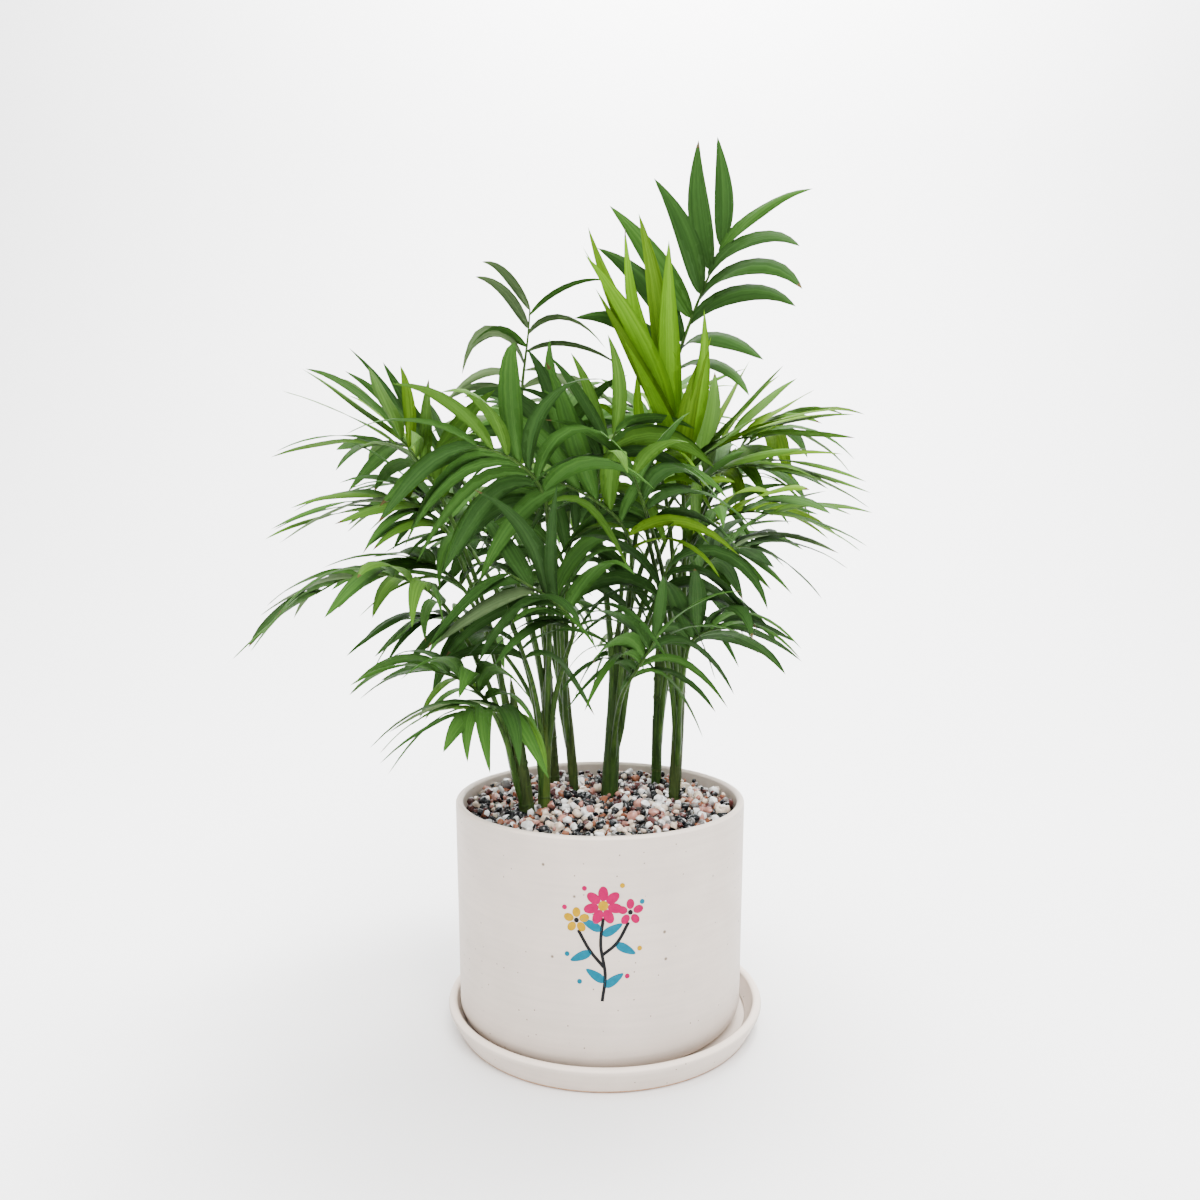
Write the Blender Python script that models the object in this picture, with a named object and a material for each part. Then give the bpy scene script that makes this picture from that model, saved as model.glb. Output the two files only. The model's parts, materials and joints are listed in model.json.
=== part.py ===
"""A parlour palm in its pot: a clump of canes with feather fronds, a gravel bed, a round pot and its saucer.

The origin is on the pot's axis, at the level that the saucer stands on, with +Z up and metres throughout.
"""

import math
import random
from collections import namedtuple

import bmesh
import bpy
from mathutils import Matrix, Vector
from mathutils.bvhtree import BVHTree

MM = 0.001
UP = Vector((0, 0, 1))
GAP = 0.3 * MM

# Driving dimensions of the pottery
SAUCER_X = 2.6 * MM
SAUCER_HEIGHT = 13.9 * MM
SAUCER_RIM_RADIUS = 82.1 * MM
SAUCER_FOOT_RADIUS = 76.6 * MM
SAUCER_FLOOR_RADIUS = 73.5 * MM
SAUCER_FOOT_BEVEL = 1.0 * MM
SAUCER_WALL = 4.6 * MM
POT_RIM_Z = 118.7 * MM
POT_RIM_RADIUS = 75.0 * MM
POT_FOOT_RADIUS = 73.4 * MM
POT_WALL = 3.8 * MM
POT_EDGE_RADIUS = 10.0 * MM
ROUND_SEGMENTS = 40
SHARP_ANGLE = 40

# Driving dimensions of the gravel bed
BED_DEPTH = 8.5 * MM
BED_MOUND = 3.0 * MM
BED_RINGS = 5

# Driving dimensions of the canes and the fronds' stalks
CANE_SIDES = 6
CANE_RINGS = 4
CANE_TAPER = 0.38
CANE_TOP = 0.6
STALK_SIDES = 3
PETIOLE_STEPS = 5
BLADE_STEPS = 5
PETIOLE_RADIUS = 1.5 * MM
NECK_RADIUS = 1.1 * MM
TIP_RADIUS = 0.8 * MM

# Driving dimensions of the leaflets: angles from the rib in degrees, and sizes as shares of a leaflet's length.
# A leaflet that hasn't opened is still folded, which narrows it down to the share FOLDED. LEAF_ROUND holds the
# powers of the outline's swell at the root and at the tip, and LEAF_SKYWARD turns the upper faces to the sky.
# The two leaflets of a pair don't start level: each is PAIR_STEP of the way between two pairs from the middle.
LEAF_STEPS = (0.0, 0.3, 0.68, 1.0)
LEAF_SLENDERNESS = 0.2
LEAF_WIDEST = 12.5 * MM
LEAF_STALK = 0.7 * MM
LEAF_THICKNESS = 1 / 80
LEAF_RAISE = 0.32
LEAF_ROUND = (0.75, 1.05)
LEAF_SKYWARD = 1.0
BOW_STEPS = 8
BOW_POWER = 1.0
SPREAD_FOOT = 64
SPREAD_TIP = 25
DROOP_FOOT = 1.3
DROOP_TIP = 0.7
END_SIZE = 0.8
PAIR_STEP = 0.15
LAST_PAIR = 0.3
FOLDED = 0.85

# How far each leaflet may differ from the rule
CHANCE_SPREAD = 5
CHANCE_RAISE = 0.1
CHANCE_TWIST = 22
CHANCE_SIZE = 0.07
CHANCE_DROOP = 0.4

# Room kept between pieces, and the share of a leaflet past which it keeps clear of its own frond's others. In a
# frond that is less open than STILL_JOINED, the leaflets still stick together.
CLEARANCE = 0.5 * MM
CANE_CLEARANCE = 0.2 * MM
LEAF_FREE = 0.17
STILL_JOINED = 0.5

# Vertices of a joined frond that are closer than this become one
WELD = 0.001 * MM

# Canes, in millimetres and degrees: foot on the bed, height, lean, the lean's heading, and radius at the foot
Cane = namedtuple("Cane", "name x y height lean heading radius")
CANES = [
    Cane("left", -37, -15, 66, 7, 170, 4.2),
    Cane("left_twin", -29, -9, 74, 3, 60, 3.4),
    Cane("slim", -14, 25, 84, 5, 200, 2.6),
    Cane("centre", 5, 13, 92, 3, 20, 4.4),
    Cane("right", 40, 15, 90, 4, 30, 3.2),
    Cane("right_back", 32, 43, 82, 3, 80, 3.0),
    Cane("back", -26, 44, 76, 6, 120, 3.4),
    Cane("far", 8, 52, 78, 5, 90, 3.0),
]

# Fronds, in millimetres and degrees. A petiole leaves its cane at node, and the blade turns from its heading by
# turn. The leans from the upright are those at the cane, at the neck and at the tip. Roll turns the blade about
# its own rib, leaf is its longest leaflet's length, open is how far the leaflets have opened, and droop is how
# much they bow: with a droop of 1, a level leaflet's tip points about 45 degrees down.
Frond = namedtuple("Frond", "name cane node heading turn petiole blade leans roll pairs leaf open droop tint")
FRONDS = [
    Frond("top_right", "centre", 60, -23, 12, 162, 72, (1, 17, 26), 76, 6, 67, 0.84, 1.3, "fresh"),
    Frond("spear", "right", 80, -86, -76, 84, 72, (0, 9, 22), 196, 5, 94, 0.28, 0.1, "young"),
    Frond("top_left", "slim", 45, 178, -133, 156, 67, (4, 14, 4), -19, 6, 56, 1.2, 2.2, "dark"),
    Frond("young_low", "right", 72, -100, -50, 100, 31, (2, 13, 57), 20, 3, 46, 1.1, 2.7, "young"),
    Frond("right_young", "centre", 80, -10, 4, 100, 44, (6, 34, 89), 20, 5, 60, 0.75, 0.5, "young"),
    Frond("centre", "slim", 60, -126, 57, 86, 50, (4, 6, 30), 30, 5, 58, 0.9, 2.2, "dark"),
    Frond("left_up", "left", 48, -176, 27, 113, 40, (6, 25, 47), 20, 5, 58, 1.0, 1.2, "fresh"),
    Frond("left_high", "back", 55, 183, -11, 123, 63, (6, 35, 97), 20, 6, 64, 1.0, 0.95, "middle"),
    Frond("left_mid", "left", 40, 168, 22, 113, 46, (8, 27, 108), -10, 5, 64, 1.0, 1.1, "middle"),
    Frond("left_low", "left", 32, 150, 22, 93, 46, (8, 40, 96), 0, 5, 62, 1.0, 1.2, "middle"),
    Frond("left_droop", "left", 24, -157, -7, 86, 72, (10, 33, 128), 0, 6, 56, 1.0, 1.4, "middle"),
    Frond("left_foot", "left", 18, -130, -18, 44, 34, (12, 34, 78), 0, 5, 60, 1.0, 2.0, "middle"),
    Frond("left_fan", "left_twin", 22, -119, 0, 46, 30, (12, 70, 95), 0, 5, 58, 1.0, 1.5, "middle"),
    Frond("front_left", "left_twin", 55, -76, -54, 104, 55, (6, 35, 80), 3, 6, 68, 1.0, 2.4, "fresh"),
    Frond("front_bright", "centre", 45, -64, -80, 93, 70, (8, 39, 73), 0, 6, 64, 1.0, 2.7, "fresh"),
    Frond("front_mid", "left_twin", 45, -43, -100, 56, 57, (8, 50, 62), 0, 6, 58, 1.0, 2.0, "dark"),
    Frond("right_high", "centre", 55, 8, 5, 111, 61, (6, 28, 112), 10, 6, 64, 1.0, 0.8, "fresh"),
    Frond("right_mid", "centre", 42, -27, 7, 105, 50, (6, 35, 106), 0, 6, 64, 1.0, 1.0, "middle"),
    Frond("right_low", "right_back", 40, -52, 58, 85, 38, (6, 28, 104), 0, 5, 62, 1.0, 1.3, "dark"),
    Frond("right_foot", "right", 30, -89, 52, 55, 25, (8, 28, 88), 0, 5, 58, 1.0, 2.0, "dark"),
    Frond("front_right", "right", 40, -121, 50, 70, 44, (8, 46, 30), 0, 6, 60, 1.0, 2.4, "dark"),
    Frond("front_low", "left_twin", 30, -107, 0, 54, 40, (8, 40, 36), 0, 5, 56, 1.0, 2.2, "dark"),
    Frond("front_top", "centre", 72, -122, 70, 90, 38, (4, 30, 24), 4, 5, 56, 1.0, 2.3, "middle"),
    Frond("front_edge", "right", 50, -110, 0, 106, 40, (8, 46, 52), 0, 5, 60, 1.0, 2.2, "middle"),
    Frond("front_foot", "centre", 26, -78, 10, 52, 40, (10, 60, 45), 0, 5, 56, 1.0, 2.4, "dark"),
    Frond("left_inner", "left_twin", 38, 156, 0, 100, 43, (6, 38, 54), 0, 5, 58, 1.0, 1.9, "dark"),
    Frond("middle_inner", "slim", 40, -108, 60, 76, 40, (6, 24, 32), 0, 5, 56, 1.0, 2.2, "dark"),
    Frond("right_inner", "right", 62, -140, 80, 90, 40, (6, 26, 50), 0, 5, 58, 1.0, 1.9, "middle"),
    Frond("back_top", "far", 60, 60, 10, 116, 60, (4, 18, 60), 0, 6, 66, 1.0, 1.5, "fresh"),
    Frond("back_high", "back", 60, 110, -20, 128, 58, (6, 26, 80), 0, 6, 64, 1.0, 1.6, "middle"),
    Frond("back_left", "back", 45, 150, 10, 112, 60, (6, 34, 95), 0, 6, 64, 1.0, 1.9, "middle"),
    Frond("back_middle", "far", 42, 100, 15, 105, 60, (8, 38, 98), 0, 6, 64, 1.0, 1.9, "middle"),
    Frond("back_right", "right_back", 50, 40, 15, 112, 60, (6, 32, 92), 0, 6, 64, 1.0, 1.9, "middle"),
    Frond("back_edge", "right_back", 65, 5, 20, 108, 55, (6, 26, 88), 0, 6, 62, 1.0, 1.6, "fresh"),
    Frond("back_low", "back", 30, 105, -10, 76, 50, (10, 45, 105), 0, 5, 60, 1.0, 2.2, "dark"),
    Frond("back_low_left", "back", 22, 165, 10, 66, 48, (10, 45, 100), 0, 5, 58, 1.0, 2.2, "dark"),
    Frond("back_low_right", "right_back", 26, 60, 10, 72, 48, (10, 42, 104), 0, 5, 58, 1.0, 2.2, "dark"),
    Frond("back_foot", "far", 18, 85, -15, 54, 42, (12, 50, 96), 0, 5, 54, 1.0, 2.4, "dark"),
    Frond("far_right", "far", 32, 20, 20, 92, 50, (8, 38, 90), 0, 5, 60, 1.0, 1.9, "dark"),
    Frond("far_left", "slim", 34, 130, 20, 90, 50, (8, 36, 88), 0, 5, 60, 1.0, 1.9, "dark"),
    Frond("far_top", "slim", 66, 80, 30, 108, 52, (4, 16, 60), 0, 5, 60, 1.0, 1.6, "middle"),
]

# What is tried in turn until a piece is clear: a stalk's heading, its node and how close it sits to its cane's
# axis, as a share of the cane's radius, and a leaflet's spread, raise and size
STALK_NUDGES = (0, 4, -4, 8, -8, 13, -13, 19, -19, 26, -26)
STALK_TRIES = [(nudge, shift) for nudge in STALK_NUDGES for shift in (0, -4, 4, -8)]
STALK_SEATS = (0.7, 0.75, 0.8, 0.85, 0.9, 0.95, 1.0, 1.05, 1.1)
LEAF_TURNS = [(0, 0), (6, 0), (-6, 0), (0, 0.15), (0, -0.15), (12, 0), (-12, 0),
              (8, 0.2), (-8, 0.2), (8, -0.2), (-8, -0.2)]
LEAF_TRIES = [(turn, lift, size) for size in (1.0, 0.85, 0.7) for turn, lift in LEAF_TURNS]

TINTS = {
    "young": (0.42, 0.56, 0.06),
    "fresh": (0.16, 0.33, 0.05),
    "middle": (0.09, 0.22, 0.04),
    "dark": (0.045, 0.12, 0.03),
}
CANE_COLOUR = (0.12, 0.2, 0.05)
POT_COLOUR = (0.66, 0.63, 0.59)
SAUCER_COLOUR = (0.62, 0.58, 0.53)
BED_COLOUR = (0.3, 0.27, 0.24)

Leaf = namedtuple("Leaf", "root along across length width droop")
Rib = namedtuple("Rib", "points ways sides")


class Space:
    """What is already placed, so that each new piece keeps clear of it. Its trees hold millimetres, because the
    test of two triangles misses ones that are small against its own unit."""

    def __init__(self):
        self.taken = []

    def tree(self, points, faces):
        return BVHTree.FromPolygons([p / MM for p in points], faces)

    def add(self, owner, points, faces):
        self.taken.append((owner, *bounds(points), self.tree(points, faces)))

    def is_clear(self, owner, points, faces):
        low, high = bounds(points)
        probe = self.tree(points, faces)
        for other, other_low, other_high, tree in self.taken:
            if other == owner or any(low[i] > other_high[i] or high[i] < other_low[i] for i in range(3)):
                continue
            if probe.overlap(tree):
                return False
        return True


def bounds(points):
    low = [min(p[i] for p in points) for i in range(3)]
    high = [max(p[i] for p in points) for i in range(3)]
    return low, high


def direction(heading, lean):
    """The unit vector that leans from the upright by lean, towards heading, both in degrees."""
    heading, lean = math.radians(heading), math.radians(lean)
    flat = math.sin(lean)
    return Vector((math.cos(heading) * flat, math.sin(heading) * flat, math.cos(lean)))


def mixed(values, part, share):
    """The value a share of the way from one entry to the next."""
    return values[part] + (values[part + 1] - values[part]) * share


# The pottery and its filling

def arc(centre, radius, start, end, steps):
    """Points (r, z) on an arc, with angles in degrees from the outward direction."""
    turns = [math.radians(start + (end - start) * i / steps) for i in range(steps + 1)]
    return [(centre[0] + radius * math.cos(a), centre[1] + radius * math.sin(a)) for a in turns]


def pot_foot_z():
    return SAUCER_WALL + GAP


def pot_profile():
    """The pot's section, from the middle of its foot round by the outside to the middle of its floor."""
    foot, lip, edge = pot_foot_z(), POT_WALL / 2, POT_EDGE_RADIUS
    outer_edge = arc((POT_FOOT_RADIUS - edge, foot + edge), edge, -90, 0, 4)
    mouth = arc((POT_RIM_RADIUS - lip, POT_RIM_Z - lip), lip, 0, 180, 4)
    inner_edge = [(POT_FOOT_RADIUS - POT_WALL, foot + edge), (POT_FOOT_RADIUS - edge, foot + POT_WALL)]
    return [(0, foot)] + outer_edge + mouth + inner_edge + [(0, foot + POT_WALL)]


def saucer_profile():
    """The saucer's section: a flat foot, a wall that leans out and a thick round rim."""
    lip = SAUCER_WALL / 2
    foot = [(0, 0), (SAUCER_FOOT_RADIUS - SAUCER_FOOT_BEVEL, 0), (SAUCER_FOOT_RADIUS, SAUCER_FOOT_BEVEL)]
    rim = arc((SAUCER_RIM_RADIUS - lip, SAUCER_HEIGHT - lip), lip, -20, 180, 5)
    return foot + rim + [(SAUCER_FLOOR_RADIUS, SAUCER_WALL), (0, SAUCER_WALL)]


def bed_height(radius):
    """The height of the gravel's top at a distance from the pot's axis."""
    share = radius / (POT_RIM_RADIUS - POT_WALL)
    return POT_RIM_Z - BED_DEPTH + BED_MOUND * (1 - share * share)


def bed_profile():
    """The filling's section, clear of the pot all round, with its top a low mound."""
    foot = pot_foot_z() + POT_WALL + GAP
    wall_foot = POT_FOOT_RADIUS - POT_WALL - 2 * GAP
    wall_top = POT_RIM_RADIUS - POT_WALL - GAP
    side = [(0, foot), (POT_FOOT_RADIUS - POT_EDGE_RADIUS - GAP, foot), (wall_foot, foot + POT_EDGE_RADIUS)]
    radii = [wall_top * (1 - i / BED_RINGS) for i in range(BED_RINGS + 1)]
    return side + [(radius, bed_height(radius)) for radius in radii]


def turned(name, profile, colour, roughness, centre_x=0.0):
    """A closed round solid: its section turned once about an upright axis."""
    bm = bmesh.new()
    ring = [bm.verts.new((r, 0, z)) for r, z in profile]
    for a, b in zip(ring, ring[1:]):
        bm.edges.new((a, b))
    bmesh.ops.spin(bm, geom=bm.verts[:] + bm.edges[:], axis=UP, cent=(0, 0, 0), angle=2 * math.pi,
                   steps=ROUND_SEGMENTS, use_merge=True)
    bmesh.ops.remove_doubles(bm, verts=bm.verts[:], dist=0.01 * MM)
    bmesh.ops.recalc_face_normals(bm, faces=bm.faces[:])
    obj = mesh_object(name, bm, colour, roughness)
    obj.location.x = centre_x
    obj.data.shade_smooth()
    obj.data.set_sharp_from_angle(angle=math.radians(SHARP_ANGLE))
    return obj


def mesh_object(name, bm, colour, roughness):
    """A scene object that holds the bmesh, with a plain material of its own."""
    mesh = bpy.data.meshes.new(name)
    bm.to_mesh(mesh)
    bm.free()
    obj = bpy.data.objects.new(name, mesh)
    bpy.context.scene.collection.objects.link(obj)
    material = bpy.data.materials.new(name)
    material.use_nodes = True
    shader = material.node_tree.nodes["Principled BSDF"]
    shader.inputs["Base Color"].default_value = (*colour, 1)
    shader.inputs["Roughness"].default_value = roughness
    mesh.materials.append(material)
    return obj


def solid_bmesh(points, faces):
    bm = bmesh.new()
    verts = [bm.verts.new(p) for p in points]
    for face in faces:
        bm.faces.new([verts[i] for i in face])
    return bm


# The canes

def cane_axis(cane, height):
    """A point on the cane's axis, at a height in metres above its flat cut, which clears the gravel."""
    inward = max(0.0, math.hypot(cane.x, cane.y) - cane.radius) * MM
    foot = Vector((cane.x * MM, cane.y * MM, bed_height(inward) + GAP))
    return foot + direction(cane.heading, cane.lean) * height


def cane_radius(cane, height):
    return cane.radius * MM * (1 - CANE_TAPER * height / (cane.height * MM))


def tube(points, ways, radii, sides, grow):
    """Points and faces of a closed tube along a path, widened by grow all round."""
    corners = []
    across = ways[0].orthogonal()
    for point, way, radius in zip(points, ways, radii):
        across = (across - way * across.dot(way)).normalized()
        other = way.cross(across)
        turns = [2 * math.pi * i / sides for i in range(sides)]
        corners += [point + (across * math.cos(a) + other * math.sin(a)) * (radius + grow) for a in turns]
    for i in range(sides):
        corners[i] -= ways[0] * grow
        corners[-1 - i] += ways[-1] * grow
    faces = [tuple(reversed(range(sides)))]
    for row in range(len(points) - 1):
        for i in range(sides):
            j = (i + 1) % sides
            faces.append((row * sides + i, row * sides + j, (row + 1) * sides + j, (row + 1) * sides + i))
    faces.append(tuple(range(len(corners) - sides, len(corners))))
    return corners, faces


def cane_tube(cane):
    """The cane, cut level at its foot and drawn in at its top."""
    heights = [cane.height * MM * i / CANE_RINGS for i in range(CANE_RINGS + 1)]
    radii = [cane_radius(cane, height) for height in heights]
    radii[-1] *= CANE_TOP
    return tube([cane_axis(cane, height) for height in heights], [UP] * len(heights), radii, CANE_SIDES, 0.0)


# The fronds

def rib_path(frond, cane, nudge, shift, seat):
    """The frond's stalk from its cane to the blade's tip. Its lean and its heading change along the way."""
    heading = frond.heading + nudge
    headings = (heading, heading + frond.turn / 3, heading + frond.turn * 5 / 3)
    height = (frond.node + shift) * MM
    offset = cane_radius(cane, height) * seat + PETIOLE_RADIUS
    point = cane_axis(cane, height) + direction(heading, 90) * offset
    points, ways = [point], [direction(heading, frond.leans[0])]
    for part, length, steps in ((0, frond.petiole, PETIOLE_STEPS), (1, frond.blade, BLADE_STEPS)):
        for step in range(steps):
            way_middle, way_end = (
                direction(mixed(headings, part, share), mixed(frond.leans, part, share))
                for share in ((step + 0.5) / steps, (step + 1) / steps))
            point = point + way_middle * (length * MM / steps)
            points.append(point)
            ways.append(way_end)
    level = direction(headings[1] + 90, 90)
    sides = [(Matrix.Rotation(math.radians(frond.roll), 3, way) @ (level - way * level.dot(way))).normalized()
             for way in ways]
    return Rib(points, ways, sides)


def rib_tube(rib, grow=0.0):
    radii = [mixed((PETIOLE_RADIUS, NECK_RADIUS), 0, i / PETIOLE_STEPS) for i in range(PETIOLE_STEPS)]
    radii += [mixed((NECK_RADIUS, TIP_RADIUS), 0, i / BLADE_STEPS) for i in range(BLADE_STEPS + 1)]
    return tube(rib.points, rib.ways, radii, STALK_SIDES, grow)


def along_blade(rib, share):
    """The rib's point, way and side at a share of the blade's length."""
    place = PETIOLE_STEPS + share * BLADE_STEPS
    i = min(int(place), len(rib.points) - 2)
    return [values[i].lerp(values[i + 1], place - i) for values in rib]


def leaf_at(frond, rib, share, hand, chance, turn, lift, size):
    """One leaflet, on one hand of the rib. Turn, lift and size change it from the rule, to get it clear."""
    point, way, side = along_blade(rib, share)
    way.normalize()
    side.normalize()
    face = way.cross(side)
    spread = mixed((SPREAD_FOOT, SPREAD_TIP), 0, share) + chance.uniform(-CHANCE_SPREAD, CHANCE_SPREAD)
    spread = math.radians(spread * frond.open + turn)
    raised = LEAF_RAISE + chance.uniform(-CHANCE_RAISE, CHANCE_RAISE) + lift
    along = (way * math.cos(spread) + side * hand * math.sin(spread) + face * raised).normalized()
    sky = (face if face.z > 0 else -face) + UP * LEAF_SKYWARD
    twist = math.radians(chance.uniform(-CHANCE_TWIST, CHANCE_TWIST))
    across = Matrix.Rotation(twist, 3, along) @ sky.cross(along).normalized()
    swell = mixed((END_SIZE, 1), 0, math.sin(math.pi * share))
    swell *= chance.uniform(1 - CHANCE_SIZE, 1 + CHANCE_SIZE)
    length = frond.leaf * MM * swell * size
    width = min(frond.leaf * MM * LEAF_SLENDERNESS, LEAF_WIDEST) * swell
    width *= mixed((FOLDED, 1), 0, min(frond.open, 1))
    droop = frond.droop * mixed((DROOP_FOOT, DROOP_TIP), 0, share) * math.hypot(along.x, along.y)
    droop *= chance.uniform(1 - CHANCE_DROOP, 1 + CHANCE_DROOP)
    return Leaf(point, along, across, length, width, droop)


def leaf_way(leaf, share):
    """The midrib's direction, which bows over more and more under the leaflet's weight."""
    return (leaf.along - UP * (leaf.droop * share ** BOW_POWER)).normalized()


def leaf_midrib(leaf):
    """The midrib as BOW_STEPS short steps along its changing way."""
    points = [leaf.root]
    for step in range(BOW_STEPS):
        points.append(points[-1] + leaf_way(leaf, (step + 0.5) / BOW_STEPS) * (leaf.length / BOW_STEPS))
    return points


def leaf_width(leaf, share):
    """Drawn in to a stalk at the root, widest before the middle, and drawn out to the tip."""
    a, b = LEAF_ROUND
    widest = a / (a + b)
    return LEAF_STALK + leaf.width * (share / widest) ** a * ((1 - share) / (1 - widest)) ** b


def leaf_solid(leaf, grow=0.0, start=0.0):
    """Points and faces of the leaflet as a thin three-sided blade, widened by grow all round, from start on."""
    midrib = leaf_midrib(leaf)
    points = []
    for step in LEAF_STEPS[:-1]:
        share = max(start, step)
        place = int(share * BOW_STEPS)
        middle = midrib[place].lerp(midrib[place + 1], share * BOW_STEPS - place)
        way = leaf_way(leaf, share)
        across = leaf.along.rotation_difference(way) @ leaf.across
        face = way.cross(across)
        half = leaf_width(leaf, share) / 2 + grow
        ridge = min(leaf.length * LEAF_THICKNESS, half) + grow
        under = middle - face * grow
        points += [under + across * half, middle + face * ridge, under - across * half]
    points.append(midrib[-1] + leaf_way(leaf, 1) * grow)
    faces = [(2, 1, 0)]
    rows = len(LEAF_STEPS) - 2
    for row in range(rows):
        for i in range(3):
            j = (i + 1) % 3
            faces.append((row * 3 + i, row * 3 + j, row * 3 + 3 + j))
            faces.append((row * 3 + i, row * 3 + 3 + j, row * 3 + 3 + i))
    tip = len(points) - 1
    faces += [(rows * 3 + i, rows * 3 + (i + 1) % 3, tip) for i in range(3)]
    return points, faces


# The growing: every stalk first, then the leaflets, each kept clear of all that is placed before it

def seated_rib(frond, cane, nudge, shift, clump):
    """The rib at the closest seat on its cane that is clear of every cane, or None."""
    for seat in STALK_SEATS:
        rib = rib_path(frond, cane, nudge, shift, seat)
        if clump.is_clear(None, *rib_tube(rib, CANE_CLEARANCE)):
            return rib
    return None


def grow_stalks(space):
    """The rib of each frond by name, at the first try that is clear of the canes and of the other ribs."""
    canes = {cane.name: cane for cane in CANES}
    clump = Space()
    for cane in CANES:
        clump.add(cane.name, *cane_tube(cane))
    ribs = {}
    for frond in FRONDS:
        for nudge, shift in STALK_TRIES:
            rib = seated_rib(frond, canes[frond.cane], nudge, shift, clump)
            if rib and space.is_clear(frond.name, *rib_tube(rib, CLEARANCE)):
                ribs[frond.name] = rib
                space.add(frond.name, *rib_tube(rib))
                break
    space.taken += clump.taken
    return ribs


def grow_leaves(frond, rib, space):
    """The frond's leaflets, each at the first try that is clear of other pieces and of the frond's others."""
    chance = random.Random(frond.name)
    leaves = []
    own = Space()
    for pair in range(frond.pairs):
        for hand in (-1, 1):
            share = min(1.0, (pair + 0.5 + PAIR_STEP * hand) / (frond.pairs - LAST_PAIR))
            state = chance.getstate()
            for turn, lift, size in LEAF_TRIES:
                chance.setstate(state)
                leaf = leaf_at(frond, rib, share, hand, chance, turn, lift, size)
                if space.is_clear(frond.name, *leaf_solid(leaf, CLEARANCE)) and own.is_clear(
                        None, *leaf_solid(leaf, GAP, LEAF_FREE)):
                    if frond.open > STILL_JOINED:
                        own.add(len(leaves), *leaf_solid(leaf, 0.0, LEAF_FREE))
                    space.add(frond.name, *leaf_solid(leaf))
                    leaves.append(leaf)
                    break
    return leaves


def fuse(base, parts):
    """Joins loose parts to the base object by one Boolean union, which is then applied. The few vertices that the
    union leaves almost on top of each other are merged."""
    group = bpy.data.collections.new(base.name + "_parts")
    bpy.context.scene.collection.children.link(group)
    for index, (points, faces) in enumerate(parts):
        mesh = bpy.data.meshes.new(f"{base.name}_part_{index}")
        bm = solid_bmesh(points, faces)
        bm.to_mesh(mesh)
        bm.free()
        group.objects.link(bpy.data.objects.new(mesh.name, mesh))
    union = base.modifiers.new("leaflets", "BOOLEAN")
    union.operation = "UNION"
    union.operand_type = "COLLECTION"
    union.collection = group
    union.solver = "MANIFOLD"
    bpy.context.view_layer.update()
    joined = bpy.data.meshes.new_from_object(base.evaluated_get(bpy.context.evaluated_depsgraph_get()))
    bm = bmesh.new()
    bm.from_mesh(joined)
    bmesh.ops.remove_doubles(bm, verts=bm.verts[:], dist=WELD)
    bm.to_mesh(joined)
    bm.free()
    base.modifiers.remove(union)
    base.data = joined
    for obj in list(group.objects):
        bpy.data.objects.remove(obj)
    bpy.data.collections.remove(group)


def main():
    for obj in list(bpy.data.objects):
        bpy.data.objects.remove(obj)
    turned("saucer", saucer_profile(), SAUCER_COLOUR, 0.6, SAUCER_X)
    turned("pot", pot_profile(), POT_COLOUR, 0.6)
    turned("gravel_bed", bed_profile(), BED_COLOUR, 0.9)
    for cane in CANES:
        mesh_object("cane_" + cane.name, solid_bmesh(*cane_tube(cane)), CANE_COLOUR, 0.5)
    space = Space()
    ribs = grow_stalks(space)
    count = 0
    for frond in FRONDS:
        if frond.name not in ribs:
            print("no clear way for", frond.name)
            continue
        leaves = grow_leaves(frond, ribs[frond.name], space)
        stalk = solid_bmesh(*rib_tube(ribs[frond.name]))
        obj = mesh_object("frond_" + frond.name, stalk, TINTS[frond.tint], 0.5)
        fuse(obj, [leaf_solid(leaf) for leaf in leaves])
        count += len(leaves)
    print(len(ribs), "fronds with", count, "leaflets")


if __name__ == "__main__":
    main()
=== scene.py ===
# %% [markdown]
# A parlour palm in its pot. The plant is a clump of short canes, and from each cane several stalks rise,
# each with a feather of ribbon-like leaflets. It stands in gravel in a round matte pot, on a saucer. The
# frame holds the plain solids. This script dresses them: finer leaflets, round stalks, sheathed canes,
# loose gravel and finely turned pottery, each of them in the place that its solid holds.

# %% Load the frame
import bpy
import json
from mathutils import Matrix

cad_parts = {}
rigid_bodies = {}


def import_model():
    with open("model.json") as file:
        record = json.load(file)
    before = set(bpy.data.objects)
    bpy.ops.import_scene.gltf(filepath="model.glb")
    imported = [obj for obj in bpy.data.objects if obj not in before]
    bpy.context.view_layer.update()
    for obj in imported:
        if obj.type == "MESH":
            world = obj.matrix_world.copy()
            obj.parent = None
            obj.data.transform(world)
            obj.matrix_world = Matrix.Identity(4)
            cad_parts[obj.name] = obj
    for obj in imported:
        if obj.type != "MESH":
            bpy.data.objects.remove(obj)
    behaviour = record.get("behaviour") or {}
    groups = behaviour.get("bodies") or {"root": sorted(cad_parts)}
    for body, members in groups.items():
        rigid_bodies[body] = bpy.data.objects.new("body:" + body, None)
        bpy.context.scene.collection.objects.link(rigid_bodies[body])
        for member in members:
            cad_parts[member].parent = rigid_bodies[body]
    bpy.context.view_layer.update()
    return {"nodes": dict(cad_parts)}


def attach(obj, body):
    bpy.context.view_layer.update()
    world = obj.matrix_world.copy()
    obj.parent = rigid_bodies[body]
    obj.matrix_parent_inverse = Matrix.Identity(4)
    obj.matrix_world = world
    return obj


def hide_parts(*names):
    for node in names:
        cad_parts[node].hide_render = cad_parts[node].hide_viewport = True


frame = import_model()
print("solids", len(frame["nodes"]))

# %% [markdown]
# Everything is in metres, with +Z up, and the origin is on the pot's axis where the saucer stands. Most
# sizes read better in millimetres, so they are written as a number times MM.

# %% Units and libraries
import json
import math
import random
from collections import namedtuple

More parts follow.
